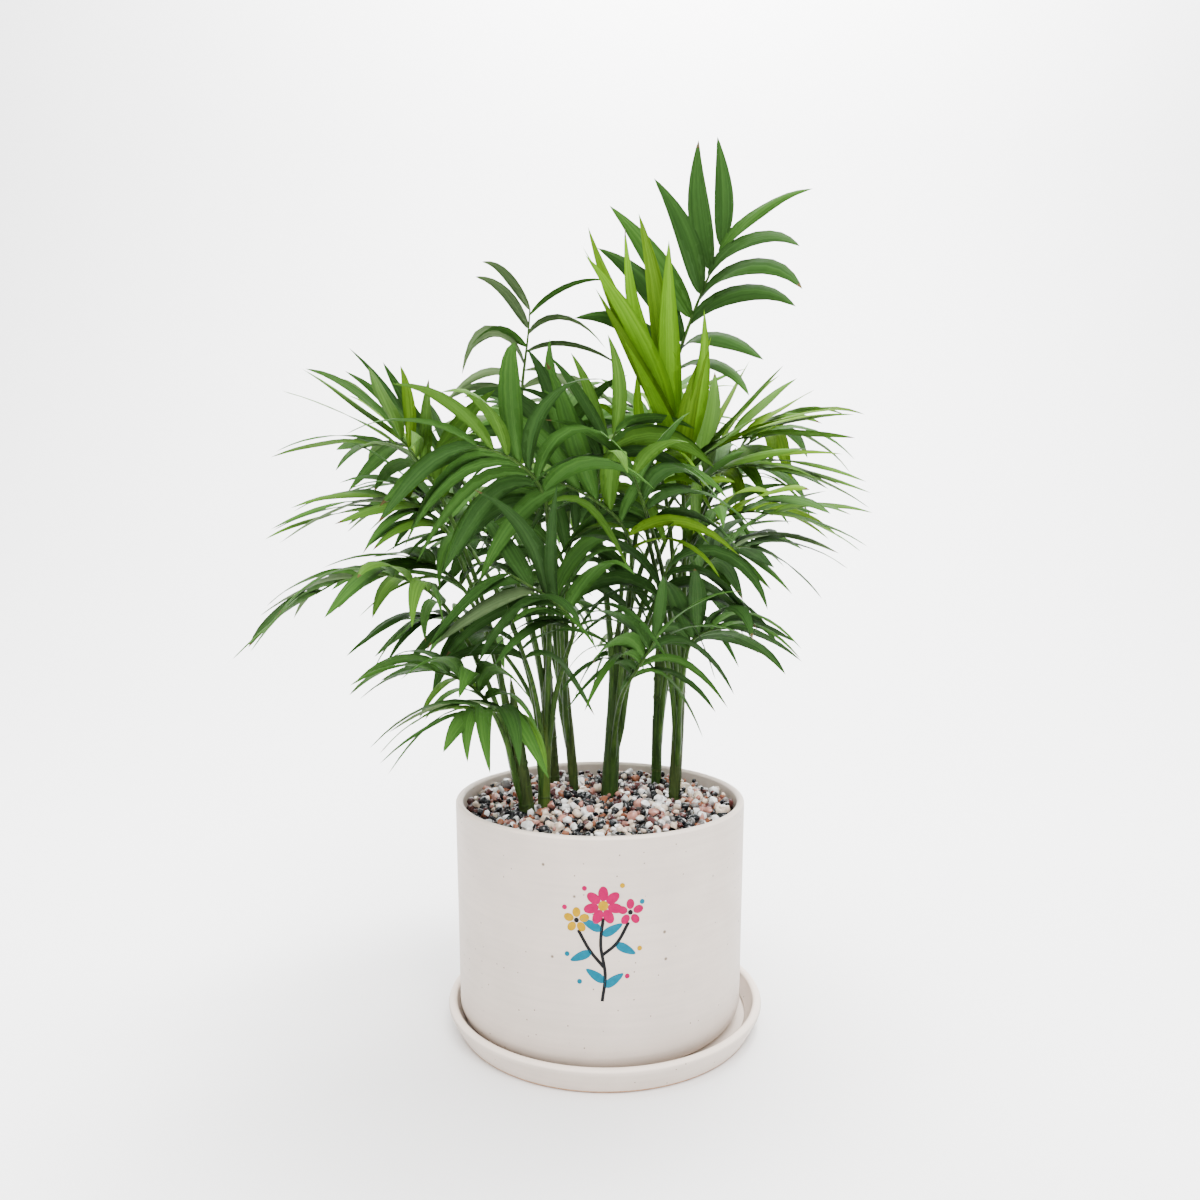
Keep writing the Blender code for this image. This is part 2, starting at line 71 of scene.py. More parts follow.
import bmesh
import bpy
import numpy as np
from mathutils import Matrix, Vector
from mathutils.bvhtree import BVHTree

MM = 0.001
UP = Vector((0, 0, 1))
BODY = "root"

# %% [markdown]
# The camera looks at the plant from the front and a little above. A real photo's angle shows in its
# ellipses: the flatter the pot's rim looks, the lower the camera. The lens, the height and the tilt below
# give the rim and the saucer the same ellipses as on the photo.

# %% Camera
CAMERA_PLACE = Vector((0, -512, 255.7)) * MM
CAMERA_TILT = 3.91
CAMERA_LENS = 29.7
CAMERA_SENSOR = 36
CAMERA_NEAREST = 0.01

camera = bpy.data.objects.new("camera", bpy.data.cameras.new("camera"))
camera.location = CAMERA_PLACE
camera.rotation_euler = (math.radians(90 - CAMERA_TILT), 0, 0)
camera.data.lens = CAMERA_LENS
camera.data.sensor_width = CAMERA_SENSOR
camera.data.clip_start = CAMERA_NEAREST
bpy.context.scene.collection.objects.link(camera)
bpy.context.scene.camera = camera
print("camera", tuple(round(v, 3) for v in camera.location))

# %% [markdown]
# Every piece is a mesh that keeps its place in its own points, so its object stays at the origin. It could
# also be moved by its object, but then a pattern in object coordinates would not stay with the rest. The
# helper below makes the object, gives it its materials, seats it on the body and hides the solids that it
# stands for.

# %% Helper that hands a finished mesh to the scene
def add_piece(mesh, materials, slot, stands_for=()):
    """Makes a mesh a piece of the plant, under the mesh's own name."""
    piece = bpy.data.objects.new(mesh.name, mesh)
    bpy.context.scene.collection.objects.link(piece)
    for material in materials:
        mesh.materials.append(material)
    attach(piece, BODY)
    if stands_for:
        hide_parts(*stands_for)
    mesh.calc_loop_triangles()
    print(mesh.name, len(mesh.loop_triangles), "triangles")

# %% [markdown]
# A piece is shaped as a bmesh and then written to a mesh. Its shading is smooth where its faces meet at a
# small angle, and sharp where they meet at a greater one, so a rounded rim stays round and an edge stays an
# edge.

# %% Helpers for meshes
SHARP_ANGLE = 40


def smoothed(mesh, angle):
    """The mesh, shaded smooth up to an angle in degrees between its faces."""
    mesh.shade_smooth()
    mesh.set_sharp_from_angle(angle=math.radians(angle))
    return mesh


def mesh_from(name, bm, angle=SHARP_ANGLE):
    """The mesh of a bmesh, which is freed."""
    mesh = bpy.data.meshes.new(name)
    bm.to_mesh(mesh)
    bm.free()
    return smoothed(mesh, angle)


def face_outwards(bm):
    bmesh.ops.recalc_face_normals(bm, faces=bm.faces[:])


def give_wall(bm, thickness):
    face_outwards(bm)
    bmesh.ops.solidify(bm, geom=bm.verts[:] + bm.edges[:] + bm.faces[:], thickness=thickness)


def only(kind, geom):
    """The items of one kind, such as vertices, in what an operator gives back."""
    return [item for item in geom if isinstance(item, kind)]

# %% [markdown]
# A material here is a Principled shader with a few nodes in front of it. Two patterns do most of the work:
# a noise that shifts the colour between two near tones, and a finer noise that lifts the surface a little.
# Both can be stretched, which turns blotches into the fibres of a stalk or the veins of a leaflet. The
# class below holds one such material, so that one line adds a node to it.

# %% Helpers for materials
def toned(colour, factor):
    return tuple(min(1.0, value * factor) for value in colour)


class Finish:
    """A new material, with helpers that put nodes in front of its shader and give their outputs."""

    def __init__(self, name, roughness, specular):
        self.material = bpy.data.materials.new(name)
        self.material.use_nodes = True
        self.shader = self.material.node_tree.nodes["Principled BSDF"]
        self.shader.inputs["Roughness"].default_value = roughness
        self.shader.inputs["Specular IOR Level"].default_value = specular

    def feed(self, socket, value):
        """Links another node's output to an input, or gives the input a number or a colour of its own."""
        if isinstance(value, bpy.types.NodeSocket):
            self.material.node_tree.links.new(value, socket)
        elif socket.type == "RGBA":
            socket.default_value = (*value, 1)
        else:
            socket.default_value = value

    def node(self, kind, inputs):
        made = self.material.node_tree.nodes.new("ShaderNode" + kind)
        for key, value in inputs.items():
            self.feed(made.inputs[key], value)
        return made

    def place(self):
        """Object coordinates, in which a pattern stays with its piece."""
        return self.node("TexCoord", {}).outputs["Object"]

    def attribute(self, name):
        made = self.node("Attribute", {})
        made.attribute_name = name
        return made.outputs["Fac"]

    def noise(self, place, scale, detail, stretch=(1, 1, 1)):
        """A noise on stretched coordinates, which gives a value from 0 to 1."""
        stretched = self.node("Mapping", {"Vector": place, "Scale": stretch}).outputs["Vector"]
        return self.node("TexNoise", {"Vector": stretched, "Scale": scale, "Detail": detail}).outputs["Fac"]

    def ramp(self, value, first, last):
        """A colour that follows a value from one stop to another. A stop is a (value, colour) pair."""
        made = self.node("ValToRGB", {"Fac": value})
        for element, (position, colour) in zip(made.color_ramp.elements, (first, last)):
            element.position = position
            element.color = (*colour, 1)
        return made.outputs["Color"]

    def rise(self, value, start, end):
        """A value that goes evenly from 0 to 1 while another goes from start to end."""
        return self.node("MapRange", {"Value": value, "From Min": start, "From Max": end}).outputs["Result"]

    def mix(self, factor, first, second, blend="MIX"):
        """One colour over another."""
        made = self.node("Mix", {})
        made.data_type = "RGBA"
        made.blend_type = blend
        a, b = [socket for socket in made.inputs if socket.type == "RGBA"]
        for socket, value in ((made.inputs["Factor"], factor), (a, first), (b, second)):
            self.feed(socket, value)
        return next(socket for socket in made.outputs if socket.type == "RGBA")

    def colour(self, value):
        self.feed(self.shader.inputs["Base Color"], value)

    def bump(self, height, depth):
        """Lets the surface look raised by a height from 0 to 1, times a depth."""
        made = self.node("Bump", {"Height": height, "Strength": 1.0, "Distance": depth})
        self.feed(self.shader.inputs["Normal"], made.outputs["Normal"])

    def mottle(self, scale, detail, dark, light, stops=(0.3, 0.7)):
        """Colours the surface from dark to light by a noise, and gives the noise."""
        grain = self.noise(self.place(), scale, detail)
        self.colour(self.ramp(grain, (stops[0], dark), (stops[1], light)))
        return grain

# %% [markdown]
# The pot and its saucer are thrown and cast ware with a matte off-white glaze. Up close the glaze isn't
# even: it has a soft mottle, faint rings from turning, tiny dark pinholes where gas escaped in the kiln,
# and a finely pebbled surface. The pinholes come from a cell pattern of which only the very centre of some
# cells is dark. The lip is painted paler, a painted highlight along the rim, and the height of a point says
# whether it is on the lip.

# %% Matte glaze
# The pinholes come in two sizes: cells to a metre, and a hole's size as a share of its cell
PINHOLES = ((260, 0.12), (75, 0.075))
PINHOLE_COLOUR = (0.13, 0.09, 0.06)
# A band just under the lip is painted paler: a painted highlight along the rim.
LIP_HIGHLIGHT_BAND = 1.6 * MM
PAINTED_LIP_HIGHLIGHT = 1.4


def pinholes(finish, place, scale, size, share):
    """A value of 1 in small round spots at the centre of a share of the cells."""
    cells = finish.node("TexVoronoi", {"Vector": place, "Scale": scale})
    hole = finish.rise(cells.outputs["Distance"], size, size / 2)
    red = finish.node("SeparateColor", {"Color": cells.outputs["Color"]}).outputs["Red"]
    chosen = finish.node("Math", {0: red, 1: share})
    chosen.operation = "LESS_THAN"
    spot = finish.node("Math", {0: hole, 1: chosen.outputs["Value"]})
    spot.operation = "MULTIPLY"
    return spot.outputs["Value"]


def glaze(name, colour, hole_share, lip):
    """The glaze of a piece whose lip is at a height above the table."""
    finish = Finish(name, roughness=0.55, specular=0.4)
    place = finish.place()
    blotches = finish.noise(place, scale=45, detail=4)
    tone = finish.ramp(blotches, (0.3, toned(colour, 0.94)), (0.7, toned(colour, 1.05)))
    rings = finish.noise(place, scale=420, detail=2, stretch=(0.04, 0.04, 1))
    ringed = finish.ramp(rings, (0.35, (0.965, 0.965, 0.965)), (0.65, (1.02, 1.02, 1.02)))
    tone = finish.mix(1.0, tone, ringed, "MULTIPLY")
    for scale, size in PINHOLES:
        tone = finish.mix(pinholes(finish, place, scale, size, hole_share), tone, PINHOLE_COLOUR)
    height = finish.node("SeparateXYZ", {"Vector": place}).outputs["Z"]
    # Painted highlight: the band at the lip is made paler.
    painted_highlight_on_lip = finish.rise(height, lip - LIP_HIGHLIGHT_BAND, lip - LIP_HIGHLIGHT_BAND / 2)
    finish.colour(finish.mix(painted_highlight_on_lip, tone, toned(colour, PAINTED_LIP_HIGHLIGHT)))
    finish.bump(finish.noise(place, scale=900, detail=2), 0.05 * MM)
    return finish.material

# %% [markdown]
# Round ware is a section turned about an axis. A cylinder with bevels would do for a plain pot, but the
# section gives the wall, the rounded rim, the soft foot edge and the floor in one go. The bmesh spin turns
# it, with its ends on the axis, and a full turn needs use_merge so that its last edge joins its first.

# %% Section and spin
ROUND_SEGMENTS = 180
ARC_STEPS = 14
SAME_POINT = 0.005 * MM


def arc(centre, radius, start, end, steps):
    """Points (r, z) on an arc, with angles in degrees from the outward direction."""
    turns = [math.radians(start + (end - start) * i / steps) for i in range(steps + 1)]
    return [(centre[0] + radius * math.cos(a), centre[1] + radius * math.sin(a)) for a in turns]


def spun(profile, segments, centre_x=0.0):
    """A closed bmesh: the section turned once about an upright axis."""
    bm = bmesh.new()
    ring = [bm.verts.new((r, 0, z)) for r, z in profile]
    for pair in zip(ring, ring[1:]):
        bm.edges.new(pair)
    bmesh.ops.spin(bm, geom=bm.verts[:] + bm.edges[:], axis=UP, cent=(0, 0, 0), angle=2 * math.pi,
                   steps=segments, use_merge=True)
    bmesh.ops.remove_doubles(bm, verts=bm.verts[:], dist=SAME_POINT)
    face_outwards(bm)
    bmesh.ops.translate(bm, verts=bm.verts[:], vec=(centre_x, 0, 0))
    return bm

# %% [markdown]
# The pot is a slightly flared cylinder. Its foot edge is a broad round, its rim a small one, and inside it
# goes down straight to the floor, which the filling hides. The sizes are those of the solid.

# %% Pot
GAP = 0.3 * MM
SAUCER_WALL = 4.6 * MM
POT_RIM_Z = 118.7 * MM
POT_RIM_RADIUS = 75.0 * MM
POT_FOOT_RADIUS = 73.4 * MM
POT_WALL = 3.8 * MM
POT_EDGE_RADIUS = 10.0 * MM
POT_FOOT_Z = SAUCER_WALL + GAP
POT_GLAZE = glaze("pot_glaze", (0.545, 0.47, 0.41), hole_share=0.4, lip=POT_RIM_Z)


def pot_section():
    lip, edge = POT_WALL / 2, POT_EDGE_RADIUS
    foot_edge = arc((POT_FOOT_RADIUS - edge, POT_FOOT_Z + edge), edge, -90, 0, ARC_STEPS)
    mouth = arc((POT_RIM_RADIUS - lip, POT_RIM_Z - lip), lip, 0, 180, ARC_STEPS)
    floor_edge = [(POT_FOOT_RADIUS - POT_WALL, POT_FOOT_Z + edge),
                  (POT_FOOT_RADIUS - edge, POT_FOOT_Z + POT_WALL)]
    return [(0, POT_FOOT_Z)] + foot_edge + mouth + floor_edge + [(0, POT_FOOT_Z + POT_WALL)]


add_piece(mesh_from("pot_shell", spun(pot_section(), ROUND_SEGMENTS)), [POT_GLAZE], "pot", ["pot"])

# %% [markdown]
# The saucer is a shallow dish with a thick round rim. Its glaze stops just above the table, and a thin band
# of raw clay shows there. The band is a second material on the faces of the lowest bevel, so it is a real
# edge of the piece and not a painted stripe.

# %% Raw clay
RAW_CLAY = Finish("raw_clay", roughness=0.85, specular=0.2)
clay_grain = RAW_CLAY.mottle(scale=400, detail=4, dark=(0.36, 0.2, 0.11), light=(0.5, 0.31, 0.19))
RAW_CLAY.bump(clay_grain, 0.1 * MM)

# %% Saucer
SAUCER_X = 2.6 * MM
SAUCER_HEIGHT = 13.9 * MM
SAUCER_RIM_RADIUS = 82.1 * MM
SAUCER_FOOT_RADIUS = 76.6 * MM
SAUCER_FLOOR_RADIUS = 73.5 * MM
SAUCER_HOLLOW = 2 * MM
SMALL_ARC_STEPS = 5
CLAY_BAND = 1.3 * MM
CLAY_SHARE = 0.8
SAUCER_GLAZE = glaze("saucer_glaze", (0.57, 0.49, 0.425), hole_share=0.3, lip=SAUCER_HEIGHT)


def saucer_section():
    lip, edge, hollow = SAUCER_WALL / 2, CLAY_BAND, SAUCER_HOLLOW
    foot = arc((SAUCER_FOOT_RADIUS - edge, edge), edge, -90, -10, SMALL_ARC_STEPS)
    rim = arc((SAUCER_RIM_RADIUS - lip, SAUCER_HEIGHT - lip), lip, -25, 180, ARC_STEPS)
    inside = arc((SAUCER_FLOOR_RADIUS + hollow, SAUCER_WALL + hollow), hollow, 200, 270, SMALL_ARC_STEPS)
    return [(0, 0)] + foot + rim + inside + [(0, SAUCER_WALL)]


saucer_bm = spun(saucer_section(), ROUND_SEGMENTS, SAUCER_X)
for face in saucer_bm.faces:
    face.material_index = int(face.calc_center_median().z < CLAY_BAND * CLAY_SHARE)
add_piece(mesh_from("saucer_dish", saucer_bm), [SAUCER_GLAZE, RAW_CLAY.material], "saucer", ["saucer"])

# %% [markdown]
# The filling is potting soil under a layer of gravel. Its top is a low mound. The solid stays as the ground
# that shows between the chips, so it only gets a dark gritty material. Its darkness is partly the soil's own
# colour and partly painted shade in the gaps between the stones.

# %% Soil
BED_DEPTH = 8.5 * MM
BED_MOUND = 3.0 * MM
BED_RADIUS = POT_RIM_RADIUS - POT_WALL


def bed_height(radius):
    """The height of the gravel's top at a distance from the pot's axis."""
    share = radius / BED_RADIUS
    return POT_RIM_Z - BED_DEPTH + BED_MOUND * (1 - share * share)


# Very dark soil: partly its own colour, partly painted shade between the stones.
SOIL_AND_GAP_SHADE = Finish("soil", roughness=0.95, specular=0.2)
SOIL_AND_GAP_SHADE.bump(SOIL_AND_GAP_SHADE.mottle(scale=350, detail=5, dark=(0.012, 0.009, 0.008), light=(0.05, 0.04, 0.034)), 0.6 * MM)
bed = frame["nodes"]["gravel_bed"]
bed.data.materials.clear()
bed.data.materials.append(SOIL_AND_GAP_SHADE.material)
print("mound top", round(bed_height(0) / MM, 1), "mm")

# %% [markdown]
# The growth rule comes next. The same rule with the same seeds made the fronds of the frame, so the fronds
# grown here keep the places of the solids. First the canes: where each stands on the gravel, how tall it is
# and how it leans.

# %% Canes of the clump
CANE_SIDES = 6
CANE_RINGS = 4
CANE_TAPER = 0.38
CANE_TOP = 0.6

# In millimetres and degrees: foot on the bed, height, lean, the lean's heading, and radius at the foot
Cane = namedtuple("Cane", "name x y height lean heading radius")
CANES = [
    Cane("left", -37, -15, 66, 7, 170, 4.2),
    Cane("left_twin", -29, -9, 74, 3, 60, 3.4),
    Cane("slim", -14, 25, 84, 5, 200, 2.6),
    Cane("centre", 5, 13, 92, 3, 20, 4.4),
    Cane("right", 40, 15, 90, 4, 30, 3.2),
    Cane("right_back", 32, 43, 82, 3, 80, 3.0),
    Cane("back", -26, 44, 76, 6, 120, 3.4),
    Cane("far", 8, 52, 78, 5, 90, 3.0),
]
CANES_BY_NAME = {cane.name: cane for cane in CANES}
print("canes", len(CANES))

# %% [markdown]
# Each frond is a row of a few driving values, not a drawn shape. A stalk leaves its cane at a node, leans
# away and bends over, and the blade goes on from it. Listing the values keeps each frond where the photo
# shows one, while the rule below makes every leaflet of it.

# %% Fronds
# Fronds, in millimetres and degrees. A petiole leaves its cane at node, and the blade turns from its
# heading by turn. The leans from the upright are those at the cane, at the neck and at the tip. Roll turns
# the blade about its own rib, leaf is its longest leaflet's length, open is how far the leaflets have
# opened, and droop is how much they bow: with a droop of 1, a level leaflet's tip points about 45 degrees
# down.
Frond = namedtuple("Frond", "name cane node heading turn petiole blade leans roll pairs leaf open droop tint")
FRONDS = [
    Frond("top_right", "centre", 60, -23, 12, 162, 72, (1, 17, 26), 76, 6, 67, 0.84, 1.3, "fresh"),
    Frond("spear", "right", 80, -86, -76, 84, 72, (0, 9, 22), 196, 5, 94, 0.28, 0.1, "young"),
    Frond("top_left", "slim", 45, 178, -133, 156, 67, (4, 14, 4), -19, 6, 56, 1.2, 2.2, "dark"),
    Frond("young_low", "right", 72, -100, -50, 100, 31, (2, 13, 57), 20, 3, 46, 1.1, 2.7, "young"),
    Frond("right_young", "centre", 80, -10, 4, 100, 44, (6, 34, 89), 20, 5, 60, 0.75, 0.5, "young"),
    Frond("centre", "slim", 60, -126, 57, 86, 50, (4, 6, 30), 30, 5, 58, 0.9, 2.2, "dark"),
    Frond("left_up", "left", 48, -176, 27, 113, 40, (6, 25, 47), 20, 5, 58, 1.0, 1.2, "fresh"),
    Frond("left_high", "back", 55, 183, -11, 123, 63, (6, 35, 97), 20, 6, 64, 1.0, 0.95, "middle"),
    Frond("left_mid", "left", 40, 168, 22, 113, 46, (8, 27, 108), -10, 5, 64, 1.0, 1.1, "middle"),
    Frond("left_low", "left", 32, 150, 22, 93, 46, (8, 40, 96), 0, 5, 62, 1.0, 1.2, "middle"),
    Frond("left_droop", "left", 24, -157, -7, 86, 72, (10, 33, 128), 0, 6, 56, 1.0, 1.4, "middle"),
    Frond("left_foot", "left", 18, -130, -18, 44, 34, (12, 34, 78), 0, 5, 60, 1.0, 2.0, "middle"),
    Frond("left_fan", "left_twin", 22, -119, 0, 46, 30, (12, 70, 95), 0, 5, 58, 1.0, 1.5, "middle"),
    Frond("front_left", "left_twin", 55, -76, -54, 104, 55, (6, 35, 80), 3, 6, 68, 1.0, 2.4, "fresh"),
    Frond("front_bright", "centre", 45, -64, -80, 93, 70, (8, 39, 73), 0, 6, 64, 1.0, 2.7, "fresh"),
    Frond("front_mid", "left_twin", 45, -43, -100, 56, 57, (8, 50, 62), 0, 6, 58, 1.0, 2.0, "dark"),
    Frond("right_high", "centre", 55, 8, 5, 111, 61, (6, 28, 112), 10, 6, 64, 1.0, 0.8, "fresh"),
    Frond("right_mid", "centre", 42, -27, 7, 105, 50, (6, 35, 106), 0, 6, 64, 1.0, 1.0, "middle"),
    Frond("right_low", "right_back", 40, -52, 58, 85, 38, (6, 28, 104), 0, 5, 62, 1.0, 1.3, "dark"),
    Frond("right_foot", "right", 30, -89, 52, 55, 25, (8, 28, 88), 0, 5, 58, 1.0, 2.0, "dark"),
    Frond("front_right", "right", 40, -121, 50, 70, 44, (8, 46, 30), 0, 6, 60, 1.0, 2.4, "dark"),
    Frond("front_low", "left_twin", 30, -107, 0, 54, 40, (8, 40, 36), 0, 5, 56, 1.0, 2.2, "dark"),
    Frond("front_top", "centre", 72, -122, 70, 90, 38, (4, 30, 24), 4, 5, 56, 1.0, 2.3, "middle"),
    Frond("front_edge", "right", 50, -110, 0, 106, 40, (8, 46, 52), 0, 5, 60, 1.0, 2.2, "middle"),
    Frond("front_foot", "centre", 26, -78, 10, 52, 40, (10, 60, 45), 0, 5, 56, 1.0, 2.4, "dark"),
    Frond("left_inner", "left_twin", 38, 156, 0, 100, 43, (6, 38, 54), 0, 5, 58, 1.0, 1.9, "dark"),
    Frond("middle_inner", "slim", 40, -108, 60, 76, 40, (6, 24, 32), 0, 5, 56, 1.0, 2.2, "dark"),
    Frond("right_inner", "right", 62, -140, 80, 90, 40, (6, 26, 50), 0, 5, 58, 1.0, 1.9, "middle"),
    Frond("back_top", "far", 60, 60, 10, 116, 60, (4, 18, 60), 0, 6, 66, 1.0, 1.5, "fresh"),
    Frond("back_high", "back", 60, 110, -20, 128, 58, (6, 26, 80), 0, 6, 64, 1.0, 1.6, "middle"),
    Frond("back_left", "back", 45, 150, 10, 112, 60, (6, 34, 95), 0, 6, 64, 1.0, 1.9, "middle"),
    Frond("back_middle", "far", 42, 100, 15, 105, 60, (8, 38, 98), 0, 6, 64, 1.0, 1.9, "middle"),
    Frond("back_right", "right_back", 50, 40, 15, 112, 60, (6, 32, 92), 0, 6, 64, 1.0, 1.9, "middle"),
    Frond("back_edge", "right_back", 65, 5, 20, 108, 55, (6, 26, 88), 0, 6, 62, 1.0, 1.6, "fresh"),
    Frond("back_low", "back", 30, 105, -10, 76, 50, (10, 45, 105), 0, 5, 60, 1.0, 2.2, "dark"),
    Frond("back_low_left", "back", 22, 165, 10, 66, 48, (10, 45, 100), 0, 5, 58, 1.0, 2.2, "dark"),
    Frond("back_low_right", "right_back", 26, 60, 10, 72, 48, (10, 42, 104), 0, 5, 58, 1.0, 2.2, "dark"),
    Frond("back_foot", "far", 18, 85, -15, 54, 42, (12, 50, 96), 0, 5, 54, 1.0, 2.4, "dark"),
    Frond("far_right", "far", 32, 20, 20, 92, 50, (8, 38, 90), 0, 5, 60, 1.0, 1.9, "dark"),
    Frond("far_left", "slim", 34, 130, 20, 90, 50, (8, 36, 88), 0, 5, 60, 1.0, 1.9, "dark"),
    Frond("far_top", "slim", 66, 80, 30, 108, 52, (4, 16, 60), 0, 5, 60, 1.0, 1.6, "middle"),
]

# %% [markdown]
# No leaflet cuts through another piece. Each new piece is tested against all that is placed before it, with
# a bounding volume tree, which compares triangles quickly. Where it isn't clear, small turns and sizes are
# tried in turn until it is.

# %% Tries
# What is tried in turn until a piece is clear: a stalk's heading, its node and how close it sits to its
# cane's axis, as a share of the cane's radius, and a leaflet's spread, raise and size
STALK_NUDGES = (0, 4, -4, 8, -8, 13, -13, 19, -19, 26, -26)
STALK_TRIES = [(nudge, shift) for nudge in STALK_NUDGES for shift in (0, -4, 4, -8)]
STALK_SEATS = (0.7, 0.75, 0.8, 0.85, 0.9, 0.95, 1.0, 1.05, 1.1)
LEAF_TURNS = [(0, 0), (6, 0), (-6, 0), (0, 0.15), (0, -0.15), (12, 0), (-12, 0),
              (8, 0.2), (-8, 0.2), (8, -0.2), (-8, -0.2)]
LEAF_TRIES = [(turn, lift, size) for size in (1.0, 0.85, 0.7) for turn, lift in LEAF_TURNS]

Leaf = namedtuple("Leaf", "root along across length width droop")
Rib = namedtuple("Rib", "points ways sides")

# Room kept between pieces, and the share of a leaflet past which it keeps clear of its own frond's others.
# In a frond that is less open than STILL_JOINED, the leaflets still stick together.
CLEARANCE = 0.5 * MM
LEAF_CLEARANCE = 0.1 * MM
CANE_CLEARANCE = 0.2 * MM
LEAF_FREE = 0.17
STILL_JOINED = 0.5


class Space:
    """What is already placed, so that each new piece keeps clear of it. Its trees hold millimetres, because
    the test of two triangles misses ones that are small against its own unit."""

    def __init__(self):
        self.taken = []

    def tree(self, points, faces):
        return BVHTree.FromPolygons([p / MM for p in points], faces)

    def add(self, owner, points, faces):
        self.taken.append((owner, *bounds(points), self.tree(points, faces)))

    def is_clear(self, owner, points, faces):
        low, high = bounds(points)
        probe = self.tree(points, faces)
        for other, other_low, other_high, tree in self.taken:
            if other == owner or any(low[i] > other_high[i] or high[i] < other_low[i] for i in range(3)):
                continue
            if probe.overlap(tree):
                return False
        return True


def bounds(points):
    low = [min(p[i] for p in points) for i in range(3)]
    high = [max(p[i] for p in points) for i in range(3)]
    return low, high


def direction(heading, lean):
    """The unit vector that leans from the upright by lean, towards heading, both in degrees."""
    heading, lean = math.radians(heading), math.radians(lean)
    flat = math.sin(lean)
    return Vector((math.cos(heading) * flat, math.sin(heading) * flat, math.cos(lean)))


def mixed(values, part, share):
    """The value a share of the way from one entry to the next."""
    return values[part] + (values[part + 1] - values[part]) * share

# %% [markdown]
# A stalk is a path whose lean and heading change evenly along it, first over the petiole and then over the
# blade. The tube round it here has only three sides: it stands for the stalk while places are tried.

# %% Canes and stalks of the rule
STALK_SIDES = 3
PETIOLE_STEPS = 5
BLADE_STEPS = 5
PETIOLE_RADIUS = 1.5 * MM
NECK_RADIUS = 1.1 * MM
TIP_RADIUS = 0.8 * MM


def cane_axis(cane, height):
    """A point on the cane's axis, at a height in metres above its flat cut, which clears the gravel."""
    inward = max(0.0, math.hypot(cane.x, cane.y) - cane.radius) * MM
    foot = Vector((cane.x * MM, cane.y * MM, bed_height(inward) + GAP))
    return foot + direction(cane.heading, cane.lean) * height


def cane_radius(cane, height):
    return cane.radius * MM * (1 - CANE_TAPER * height / (cane.height * MM))


def tube(points, ways, radii, sides, grow):
    """Points and faces of a closed tube along a path, widened by grow all round."""
    corners = []
    across = ways[0].orthogonal()
    for point, way, radius in zip(points, ways, radii):
        across = (across - way * across.dot(way)).normalized()
        other = way.cross(across)
        turns = [2 * math.pi * i / sides for i in range(sides)]
        corners += [point + (across * math.cos(a) + other * math.sin(a)) * (radius + grow) for a in turns]
    for i in range(sides):
        corners[i] -= ways[0] * grow
        corners[-1 - i] += ways[-1] * grow
    faces = [tuple(reversed(range(sides)))]
    for row in range(len(points) - 1):
        for i in range(sides):
            j = (i + 1) % sides
            faces.append((row * sides + i, row * sides + j, (row + 1) * sides + j, (row + 1) * sides + i))
    faces.append(tuple(range(len(corners) - sides, len(corners))))
    return corners, faces


def cane_tube(cane):
    """The cane, cut level at its foot and drawn in at its top."""
    heights = [cane.height * MM * i / CANE_RINGS for i in range(CANE_RINGS + 1)]
    radii = [cane_radius(cane, height) for height in heights]
    radii[-1] *= CANE_TOP
    return tube([cane_axis(cane, height) for height in heights], [UP] * len(heights), radii, CANE_SIDES, 0.0)


def rib_path(frond, cane, nudge, shift, seat):
    """The frond's stalk from its cane to the blade's tip. Its lean and its heading change along the way."""
    heading = frond.heading + nudge
    headings = (heading, heading + frond.turn / 3, heading + frond.turn * 5 / 3)
    height = (frond.node + shift) * MM
    offset = cane_radius(cane, height) * seat + PETIOLE_RADIUS
    point = cane_axis(cane, height) + direction(heading, 90) * offset
    points, ways = [point], [direction(heading, frond.leans[0])]
    for part, length, steps in ((0, frond.petiole, PETIOLE_STEPS), (1, frond.blade, BLADE_STEPS)):
        for step in range(steps):
            way_middle, way_end = (
                direction(mixed(headings, part, share), mixed(frond.leans, part, share))
                for share in ((step + 0.5) / steps, (step + 1) / steps))
            point = point + way_middle * (length * MM / steps)
            points.append(point)
            ways.append(way_end)
    level = direction(headings[1] + 90, 90)
    sides = [(Matrix.Rotation(math.radians(frond.roll), 3, way) @ (level - way * level.dot(way))).normalized()
             for way in ways]
    return Rib(points, ways, sides)


def rib_tube(rib, grow=0.0):
    radii = [mixed((PETIOLE_RADIUS, NECK_RADIUS), 0, i / PETIOLE_STEPS) for i in range(PETIOLE_STEPS)]
    radii += [mixed((NECK_RADIUS, TIP_RADIUS), 0, i / BLADE_STEPS) for i in range(BLADE_STEPS + 1)]
    return tube(rib.points, rib.ways, radii, STALK_SIDES, grow)


def along_blade(rib, share):
    """The rib's point, way and side at a share of the blade's length."""
    place = PETIOLE_STEPS + share * BLADE_STEPS
    i = min(int(place), len(rib.points) - 2)
    return [values[i].lerp(values[i + 1], place - i) for values in rib]

# %% [markdown]
# A leaflet leaves the rib at a wide angle near the foot of the blade and at a narrow one near its tip. It
# rises a little and then bows over under its own weight, so its midrib is followed in short steps. Its
# width draws in to a stalk, is greatest before the middle and runs out in a long tip.

